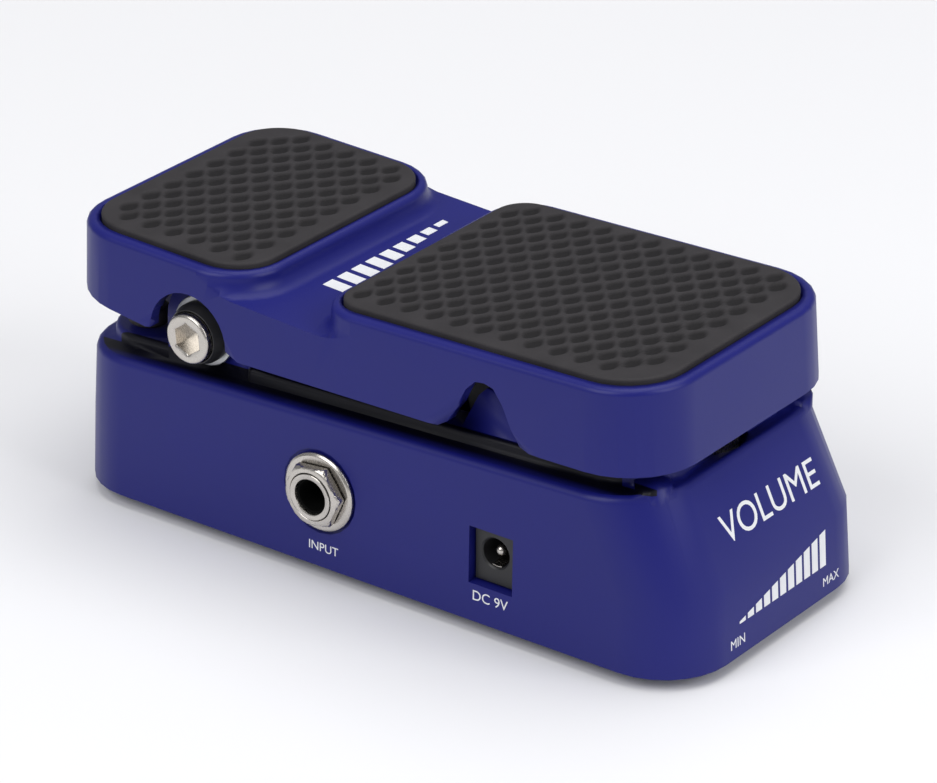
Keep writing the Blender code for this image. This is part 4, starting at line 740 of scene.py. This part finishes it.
def pivot_bolt(node, side):
    low, high, mid = sizes(node)
    tip, face = ends(node)
    radius = (high[0] - low[0]) / 2
    shank = eased([(0, tip), (BOLT_SHANK - BOLT_LEAD, tip), (BOLT_SHANK, tip + 0.4),
                   (BOLT_SHANK, face - HEAD_TALL)], 0.1)
    rim = [(radius - inward, face - below) for inward, below in HEAD_RIM]
    profile = shank + rim + socket_head(radius - HEAD_FACE_IN, face, SOCKET_FLATS, SOCKET_DEEP)
    stands_for(turned(node + "_turned", profile, "y", (mid[0], 0, mid[2]), NICKEL, side,
                      turn_deg=HEAD_TURN), node)
    return face


def pivot_washer(node, side):
    _, high, mid = sizes(node)
    start, _ = ends(node)
    out = high[0] - mid[0]
    ring = eased([(WASHER_HOLE, start), (out, start), (out, start + WASHER_THICK),
                  (WASHER_HOLE, start + WASHER_THICK)], 0.15)
    stands_for(turned(node + "_turned", ring, "y", (mid[0], 0, mid[2]), ZINC, side), node)


def pivot_bush(node, side):
    _, high, mid = sizes(node)
    start, end = ends(node)
    cup = high[0] - mid[0]
    floor = end - CUP_DEEP
    profile = eased([(BUSH_HOLE, start), (BUSH_WALL_OUT, start), (BUSH_WALL_OUT, floor - CUP_FLOOR),
                     (cup, floor - CUP_FLOOR), (cup, floor + CUP_STRAIGHT), (cup - CUP_RIM, end),
                     (cup - CUP_WALL, end), (cup - CUP_WALL, floor), (BUSH_HOLE, floor)], 0.15)
    stands_for(turned(node + "_turned", profile, "y", (mid[0], 0, mid[2]), BLACK_PLASTIC, side),
               node)


for hand, side in (("left", 1), ("right", -1)):
    bolt_face = pivot_bolt("pivot_bolt_" + hand, side)
    pivot_washer("pivot_washer_" + hand, side)
    pivot_bush("pivot_bush_" + hand, side)
print("bolt face", round(bolt_face, 2), "mm from the middle")

# %% [markdown]
# ## Jacks
#
# A jack is held by a threaded sleeve that comes out through the side, a dished washer and a hex
# nut with a chamfered face. The sleeve's mouth has a small lead-in for the plug, and its outside
# is threaded: the thread is a fine ripple in the profile, which is enough at this size. Inside
# the sleeve a black plastic lining stands for the jack's moulded body; it is made darker and
# duller than the other black plastic, as painted shade deep in the bore.

# %% Jack sleeves, washers, nuts and linings
BORE = 3.4
THREAD_PITCH = 0.75
THREAD_DEEP = 0.18
THREAD_MARGIN = 0.2
RING_HOLE = 4.9
DISH_DROP, DISH_IN = 0.35, 0.5
NUT_FLATS = 11.3
NUT_HOLE = 4.68
NUT_MOUTH = 4.8
NUT_TURN = 5.0
NUT_CHAMFER = ((1.155, 0.75), (1.10, 0.45), (1.03, 0.15), (0.97, 0.0))
LINING_WALL = 0.3
LINING_GAP = 0.02
LINING_BACK = 0.7       # how far its mouth lies behind the sleeve's


def threaded(radius, start, end):
    """Ripple of a fine thread along a straight length: the radius drops at every other mark."""
    marks = np.arange(start + THREAD_MARGIN, end - THREAD_MARGIN, THREAD_PITCH / 2)
    return [(radius - THREAD_DEEP * (i % 2), float(h)) for i, h in enumerate(marks)]


def jack_sleeve(node, spot, radius, side):
    start, end = ends(node)
    profile = [(BORE, start), (radius, start)] + threaded(radius, start, end)
    profile += [(radius - 0.03, end - 0.1), (radius - 0.12, end), (BORE + 0.4, end),
                (BORE + 0.15, end - 0.12), (BORE, end - 0.5)]
    stands_for(turned(node + "_turned", profile, "y", spot, NICKEL, side), node)


def jack_washer(node, spot, side):
    _, high, mid = sizes(node)
    start, end = ends(node)
    radius = high[0] - mid[0]
    profile = eased([(RING_HOLE, start), (radius, start), (radius, end - DISH_DROP),
                     (radius - DISH_IN, end), (RING_HOLE, end)], 0.15)
    stands_for(turned(node + "_turned", profile, "y", spot, NICKEL, side), node)


def jack_nut(node, spot, side):
    """Nut: a cone cuts the hexagon only at its corners, so the chamfer's edge is curved."""
    start, end = ends(node)
    half = NUT_FLATS / 2
    cone = [(half * NUT_CHAMFER[0][0], start, NUT_FLATS)]
    cone += [(half * share, end - below, NUT_FLATS) for share, below in NUT_CHAMFER]
    profile = [(NUT_HOLE, start)] + cone + [(NUT_MOUTH, end), (NUT_HOLE, end - 0.12)]
    stands_for(turned(node + "_turned", profile, "y", spot, NICKEL, side, turn_deg=NUT_TURN), node)


def jack_lining(jack, spot, side):
    inner, outer = ends(jack + "_sleeve")
    wide = BORE - LINING_GAP
    narrow = wide - LINING_WALL
    profile = [(0, inner + 0.3), (wide, inner + 0.3), (wide, outer - LINING_BACK),
               (narrow, outer - LINING_BACK - 0.2), (narrow, inner + 0.7), (0, inner + 0.7)]
    tube = turned(jack + "_lining", profile, "y", spot, LINING_WITH_BORE_SHADE, side)
    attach(tube, BODY_OF[jack + "_sleeve"])


for jack, side in (("output_jack", 1), ("input_jack", -1)):
    low, high, mid = sizes(jack + "_sleeve")
    spot = (mid[0], 0, mid[2])
    jack_sleeve(jack + "_sleeve", spot, high[0] - mid[0], side)
    jack_washer(jack + "_washer", spot, side)
    jack_nut(jack + "_nut", spot, side)
    jack_lining(jack, spot, side)
print("jack bore", 2 * BORE, "mm")

# %% [markdown]
# ## Screws
#
# All the small screws are the same socket head screw with a threaded shank, in three lengths.
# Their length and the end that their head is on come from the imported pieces, so one function
# makes them all.

# %% Screws
SCREW_SHANK = 1.3
SCREW_HEAD = 1.6
SCREW_LEAD = 0.3
SCREW_THREAD = 0.12
SCREW_STEP = 0.25
SCREW_FLATS = 2.0
SCREW_SOCKET_DEEP = 1.0
SCREW_RIM = ((0.1, 0.0), (0.0, 0.2))    # (inward, above the shank's end) under the head
SCREW_ROLL = ((0.0, 0.5), (0.15, 0.2), (0.5, 0.0))


def small_screw(node, up):
    """Socket head screw; up is +1 where the shank points up and -1 where the head does."""
    low, high, mid = sizes(node)
    radius = high[0] - mid[0]
    length = high[2] - low[2]
    neck = length - SCREW_HEAD
    turns = int((neck - 2 * SCREW_LEAD) / SCREW_STEP)
    shank = [(0, 0), (SCREW_SHANK - SCREW_LEAD, 0), (SCREW_SHANK, SCREW_LEAD)]
    shank += [(SCREW_SHANK - SCREW_THREAD * (i % 2), SCREW_LEAD + SCREW_STEP * i)
              for i in range(1, turns)]
    head = [(SCREW_SHANK, neck - 0.05)]
    head += [(radius - inward, neck + above) for inward, above in SCREW_RIM]
    head += [(radius - inward, length - below) for inward, below in SCREW_ROLL]
    profile = shank + head + socket_head(radius - 0.6, length, SCREW_FLATS, SCREW_SOCKET_DEEP)
    tip = high[2] if up > 0 else low[2]
    screw = turned(node + "_turned", profile, "z", (mid[0], mid[1], tip), ZINC, -up, steps=48)
    return stands_for(screw, node)


screws = [node for node in frame["nodes"] if "_screw_" in node]
for node in screws:
    small_screw(node, -1 if node.startswith("bracket") else 1)
print(len(screws), "screws")

# %% [markdown]
# ## Feet, stops and bumper
#
# These are moulded rubber buttons: a short cylinder whose edges are rolled over by a small curve,
# the way a mould has to leave them. The bumper and the stops end the treadle's travel softly.

# %% Feet, stops and bumper
BUTTON_ROLL = 0.8

buttons = [node for node in frame["nodes"]
           if node.startswith("foot_") or "_stop_" in node or node == "toe_bumper"]
for node in buttons:
    low, high, mid = sizes(node)
    radius = (high[0] - low[0]) / 2
    profile = eased([(0, low[2]), (radius, low[2]), (radius, high[2]), (0, high[2])], BUTTON_ROLL,
                    steps=7)
    stands_for(turned(node + "_moulded", profile, "z", (mid[0], mid[1], 0), BLACK_RUBBER, steps=64),
               node)
print(len(buttons), "rubber buttons")

# %% [markdown]
# ## Toe switch
#
# In the gap at the toe end a nut and the black plunger of the toe switch can be seen. The plunger
# is slightly domed so that the bumper meets its middle first.

# %% Toe switch nut, washer and plunger
SWITCH_FLATS = 12.6
SWITCH_HOLE = 5.1
SWITCH_MOUTH = 5.4
SWITCH_TURN = 30.0
SWITCH_CHAMFER = ((1.155, 0.6), (1.08, 0.25), (0.98, 0.0))
DOME = 0.7

low, high, mid = sizes("toe_switch_nut")
half = SWITCH_FLATS / 2
nut = [(SWITCH_HOLE, low[2]), (half * SWITCH_CHAMFER[0][0], low[2] + 0.05, SWITCH_FLATS)]
nut += [(half * share, high[2] - below, SWITCH_FLATS) for share, below in SWITCH_CHAMFER]
nut += [(SWITCH_MOUTH, high[2]), (SWITCH_HOLE, high[2] - 0.3)]
stands_for(turned("toe_switch_nut_turned", nut, "z", (mid[0], mid[1], 0), NICKEL,
                  turn_deg=SWITCH_TURN), "toe_switch_nut")

low, high, mid = sizes("toe_switch_washer")
radius = high[0] - mid[0]
ring = eased([(SWITCH_HOLE, low[2]), (radius, low[2]), (radius, high[2]), (SWITCH_HOLE, high[2])],
             0.12)
stands_for(turned("toe_switch_washer_turned", ring, "z", (mid[0], mid[1], 0), ZINC),
           "toe_switch_washer")

low, high, mid = sizes("toe_switch_plunger")
radius = high[0] - mid[0]
dome = [(radius * math.cos(t), high[2] - DOME + DOME * math.sin(t))
        for t in np.linspace(0, math.pi / 2, 9)]
dome[-1] = (0, high[2])
stands_for(turned("toe_switch_plunger_moulded", [(0, low[2]), (radius, low[2])] + dome, "z",
                  (mid[0], mid[1], 0), BLACK_PLASTIC), "toe_switch_plunger")
print("plunger top", round(high[2], 2), "mm above the floor")

# %% [markdown]
# ## Power socket
#
# The socket is a black moulded block behind a window in the side. Its round bore holds a centre
# pin and, along the bottom, a sprung contact that shows as a bright sliver. Each point of the
# block's mesh lies between a circle and a rectangle, so one grid makes bore, face and sides.

# %% Power socket block, pin and contact
SOCKET_BORE = 2.9
BORE_DEEP = 8.5
PIN_HOLE = 1.35
BLOCK_EDGE = 0.25
BORE_LEAD = 0.3
ROUND_STEPS = 160
CONTACT_HALF = 1.0
CONTACT_RUN = (0.5, 7.5)
CONTACT_THICK = 0.15
CONTACT_SAG = 0.25
CONTACT_LIFT = 0.12     # how far it stands off the wall of the bore

low, high, mid = sizes("dc_jack_body")
pin_low, pin_high, pin_mid = sizes("dc_jack_pin")


def box_reach(turn, low_corner, high_corner, centre):
    """Distance from a centre to the sides of a rectangle in each direction."""
    along, up = np.cos(turn), np.sin(turn)
    to_x = np.where(along > 0, high_corner[0] - centre[0], centre[0] - low_corner[0]) \
        / np.maximum(np.abs(along), 1e-9)
    to_z = np.where(up > 0, high_corner[1] - centre[1], centre[1] - low_corner[1]) \
        / np.maximum(np.abs(up), 1e-9)
    return np.minimum(to_x, to_z)


def socket_block():
    """Rings of (distance from the bore's axis, depth): hole, back, sides, face, bore, floor."""
    centre = (pin_mid[0], pin_mid[2])
    corners = [math.atan2(z - centre[1], x - centre[0])
               for x in (low[0], high[0]) for z in (low[2], high[2])]
    even = np.linspace(-math.pi, math.pi, ROUND_STEPS, endpoint=False)
    turn = np.sort(np.concatenate([even, corners]))
    side = box_reach(turn, (low[0], low[2]), (high[0], high[2]), centre)
    hole = np.full_like(turn, PIN_HOLE)
    bore = np.full_like(turn, SOCKET_BORE)
    face, deep = low[1], low[1] + BORE_DEEP
    rows = [(hole, high[1]), (side, high[1]), (side, face + BLOCK_EDGE), (side - BLOCK_EDGE, face),
            (bore + BORE_LEAD, face), (bore, face + BORE_LEAD), (bore, deep), (hole, deep),
            (hole, high[1])]
    points = np.stack([np.stack([centre[0] + out * np.cos(turn), np.full_like(turn, y),
                                 centre[1] + out * np.sin(turn)], axis=-1) for out, y in rows])
    return mesh_piece("dc_jack_body_moulded", points * MM, grid_faces(len(rows), turn.size),
                      BLACK_PLASTIC)


stands_for(socket_block(), "dc_jack_body")
tip = pin_low[1]
pin_radius = pin_high[0] - pin_mid[0]
nose = [(pin_radius * math.sin(t), tip + pin_radius * (1 - math.cos(t)))
        for t in np.linspace(0.2, math.pi / 2, 6)]
pin = [(0, tip)] + nose + [(pin_radius, pin_high[1]), (0, pin_high[1])]
stands_for(turned("dc_jack_pin_turned", pin, "y", (pin_mid[0], 0, pin_mid[2]), NICKEL, steps=48),
           "dc_jack_pin")


def sheet_walls(upper_ids, shift):
    """Faces that join the outside of a sheet's upper grid to the same loop of its lower grid."""
    loop = edge_loop(upper_ids)
    return np.stack([loop, np.roll(loop, -1), np.roll(loop, -1) + shift, loop + shift],
                    axis=-1).tolist()


def contact_strip():
    """Springy strip along the bottom of the bore: z = the bore's wall + half a wave of sag."""
    start, end = CONTACT_RUN
    a, b = np.meshgrid(np.linspace(-CONTACT_HALF, CONTACT_HALF, 13), np.linspace(start, end, 15),
                       indexing="ij")
    sag = CONTACT_SAG * np.sin((b - start) / (end - start) * math.pi)
    wall_z = pin_mid[2] - np.sqrt(SOCKET_BORE ** 2 - a ** 2) + CONTACT_LIFT
    upper = np.stack([pin_mid[0] + a, low[1] + b, wall_z + CONTACT_THICK + sag], axis=-1)
    lower = np.stack([pin_mid[0] + a, low[1] + b, wall_z], axis=-1)
    rows, cols = a.shape
    faces = grid_faces(rows, cols, wrap=False) + grid_faces(rows, cols, start=a.size, wrap=False)
    faces += sheet_walls(np.arange(a.size).reshape(rows, cols), a.size)
    points = np.concatenate([upper.reshape(-1, 3), lower.reshape(-1, 3)])
    strip = mesh_piece("dc_jack_contact", points * MM, faces, NICKEL)
    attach(strip, BODY_OF["dc_jack_body"])


contact_strip()
print("socket bore", 2 * SOCKET_BORE, "mm, pin", round(2 * pin_radius, 2), "mm")

# %% [markdown]
# ## Printed marks
#
# The marks are plain function words and signs, printed in thick white ink: INPUT and OUTPUT under
# the jacks, DC 9V under the power socket, VOLUME over a rising wedge from MIN to MAX on the toe
# end, and level bars on the saddle. A mark is made flat, then laid on the side, end or saddle by
# a function that knows that surface's slope, and it stands three hundredths of a millimetre proud
# so that it never flickers. The first cell holds only those surfaces.

# %% Surfaces that marks are laid on
INK = 0.03
FOOT = 2.5              # height of the feet under the base
SIDE_Y = 31.75          # half the base's width at its foot
SIDE_DRAFT = math.tan(math.radians(1.7))
TOE_DRAFT = math.tan(math.radians(3.4))
KNEE_Z = 14.5
LIP = (62.5, 31.6)      # where the leaning face of the toe end stops
TOE_X = 71.5
SADDLE = (47.2, 0.055, -18.65)  # height, fall per mm and the place where that height is reached


def on_side(sign):
    """Lay (along, up) on a long side; sign is -1 for the right side."""
    def lay(u, v, w):
        z = v
        y = SIDE_Y - SIDE_DRAFT * z + w
        return np.stack([-sign * u, sign * y, z + FOOT], axis=-1)
    return lay


def on_toe_low(u, v, w):
    """Lay on the lower, nearly upright face of the toe end."""
    return np.stack([TOE_X - TOE_DRAFT * v + w, u, v + FOOT], axis=-1)


def on_toe_high(u, v, w):
    """Lay on the face that leans back, with v counted up the slope from the knee."""
    knee_x = TOE_X - TOE_DRAFT * KNEE_Z
    run, rise = LIP[0] - knee_x, LIP[1] - KNEE_Z
    length = math.hypot(run, rise)
    return np.stack([knee_x + v * run / length + w * rise / length, u,
                     KNEE_Z + v * rise / length - w * run / length + FOOT], axis=-1)


def on_saddle(u, v, w):
    """Lay on the saddle between the pads, read from the heel: u to the right, v towards the toe."""
    height, fall, place = SADDLE
    return np.stack([v, -u, height - fall * (v - place) + w + FOOT], axis=-1)


print("print stands", INK, "mm proud")

# %% [markdown]
# ## Words
#
# A word is set in the plain built-in letters, turned into a mesh, scaled to the width asked and
# given a thin edge all round. A texture would be simpler, but geometry stays sharp at any
# distance.

# %% Print words


def printed(name, points, faces, lay, body):
    """Give a flat mark its thickness and lay it on a surface."""
    flat = np.asarray(points, float)
    lower = lay(flat[:, 0], flat[:, 1], np.full(len(flat), -INK))
    upper = lay(flat[:, 0], flat[:, 1], np.full(len(flat), INK))
    count = len(flat)
    under = [tuple(face) for face in faces]
    over = [tuple(i + count for i in face) for face in under]
    edges = {pair: None for face in under for pair in zip(face, face[1:] + face[:1])}
    walls = [(a, b, b + count, a + count) for a, b in edges if (b, a) not in edges]
    mark = mesh_piece(name, np.concatenate([lower, upper]) * MM, under + over + walls, PRINT, 0)
    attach(mark, body)
    return mark


def word(name, text, width, centre, lay, body):
    """A word set in the plain built-in letters, as wide as asked."""
    curve = bpy.data.curves.new(name, "FONT")
    curve.body = text
    curve.align_x = "CENTER"
    curve.resolution_u = 5
    held = bpy.data.objects.new(name + "_curve", curve)
    bpy.context.scene.collection.objects.link(held)
    bpy.context.view_layer.update()
    graph = bpy.context.evaluated_depsgraph_get()
    mesh = bpy.data.meshes.new_from_object(held.evaluated_get(graph))
    bpy.data.objects.remove(held, do_unlink=True)
    spots = np.empty(len(mesh.vertices) * 3)
    mesh.vertices.foreach_get("co", spots)
    spots = spots.reshape(-1, 3)[:, :2]
    span = spots.max(axis=0) - spots.min(axis=0)
    scale = width / span[0]
    spots = (spots - (spots.max(axis=0) + spots.min(axis=0)) / 2) * scale + np.array(centre)
    faces = [tuple(face.vertices) for face in mesh.polygons]
    mark = printed(name, spots, faces, lay, body)
    print(name, "height", round(float(span[1] * scale), 2), "mm")
    return mark


base_body = BODY_OF["base_housing"]
word("label_input", "INPUT", 6.8, (-8.6, 4.0), on_side(-1), base_body)
word("label_output", "OUTPUT", 8.2, (9.6, 4.0), on_side(1), base_body)
word("label_power", "DC 9V", 7.8, (29.5, 5.3), on_side(-1), base_body)
word("label_volume", "VOLUME", 30.0, (2.0, 9.4), on_toe_high, base_body)
word("label_least", "MIN", 4.4, (-14.2, 3.0), on_toe_low, base_body)
word("label_most", "MAX", 5.2, (16.0, 3.0), on_toe_low, base_body)

# %% [markdown]
# ## Level bars and wedge
#
# Rising bars are the plain sign for level. Each bar is one four-cornered patch, and its height
# grows by the same step each time, so a list of patches is all that both signs need.

# %% Level bars and wedge


def slabs(shapes):
    """Separate four-cornered patches as one list of points and faces."""
    points = [corner for shape in shapes for corner in shape]
    faces = [tuple(range(4 * i, 4 * i + 4)) for i in range(len(shapes))]
    return points, faces


BAR_COUNT, BAR_STEP, BAR_WIDE = 9, 4.2, 2.9
BAR_START = (-22.0, -21.6)
WEDGE_COUNT, WEDGE_STEP, WEDGE_WIDE = 11, 2.6, 1.9
WEDGE_START = (-13.5, 6.2)
WEDGE_LEAN = 0.45       # a wedge bar's left edge is this much lower
RISE = 0.62


def rising(count, step, wide, start, first, lean):
    """Bars side by side, each taller than the last by the same rise."""
    left, foot = start
    return [[(left + step * i, foot), (left + step * i + wide, foot),
             (left + step * i + wide, foot + first + RISE * i),
             (left + step * i, foot + first + RISE * i - lean)] for i in range(count)]


points, faces = slabs(rising(BAR_COUNT, BAR_STEP, BAR_WIDE, BAR_START, 1.4, 0.0))
printed("level_bars", points, faces, on_saddle, BODY_OF["treadle"])
points, faces = slabs(rising(WEDGE_COUNT, WEDGE_STEP, WEDGE_WIDE, WEDGE_START, 0.9, WEDGE_LEAN))
printed("level_wedge", points, faces, on_toe_low, base_body)
print(BAR_COUNT, "bars on the saddle and", WEDGE_COUNT, "on the toe end")

# %% [markdown]
# ## The floor
#
# The pedal stands on a plain pale floor, large enough that its edge is never seen from above.

# %% Lay the floor


def floor_sheet(size=6.0):
    made, tree, shader, place = finish("floor", Specular_IOR_Level=0.2)
    soft = grain(tree, place, 1.6, detail=1.0)
    feed(tree, shader, Base_Color=two_tone(tree, soft, (0.82, 0.82, 0.84), (0.86, 0.86, 0.87)),
         Roughness=between(tree, soft, 0.6, 0.7))
    corners = size * np.array([(-1, -1, 0), (1, -1, 0), (1, 1, 0), (-1, 1, 0)], float)
    mesh = bpy.data.meshes.new("floor")
    mesh.from_pydata(corners.tolist(), [], [(0, 1, 2, 3)])
    mesh.materials.append(made)
    obj = bpy.data.objects.new("floor", mesh)
    bpy.context.scene.collection.objects.link(obj)
    return obj


floor_sheet()
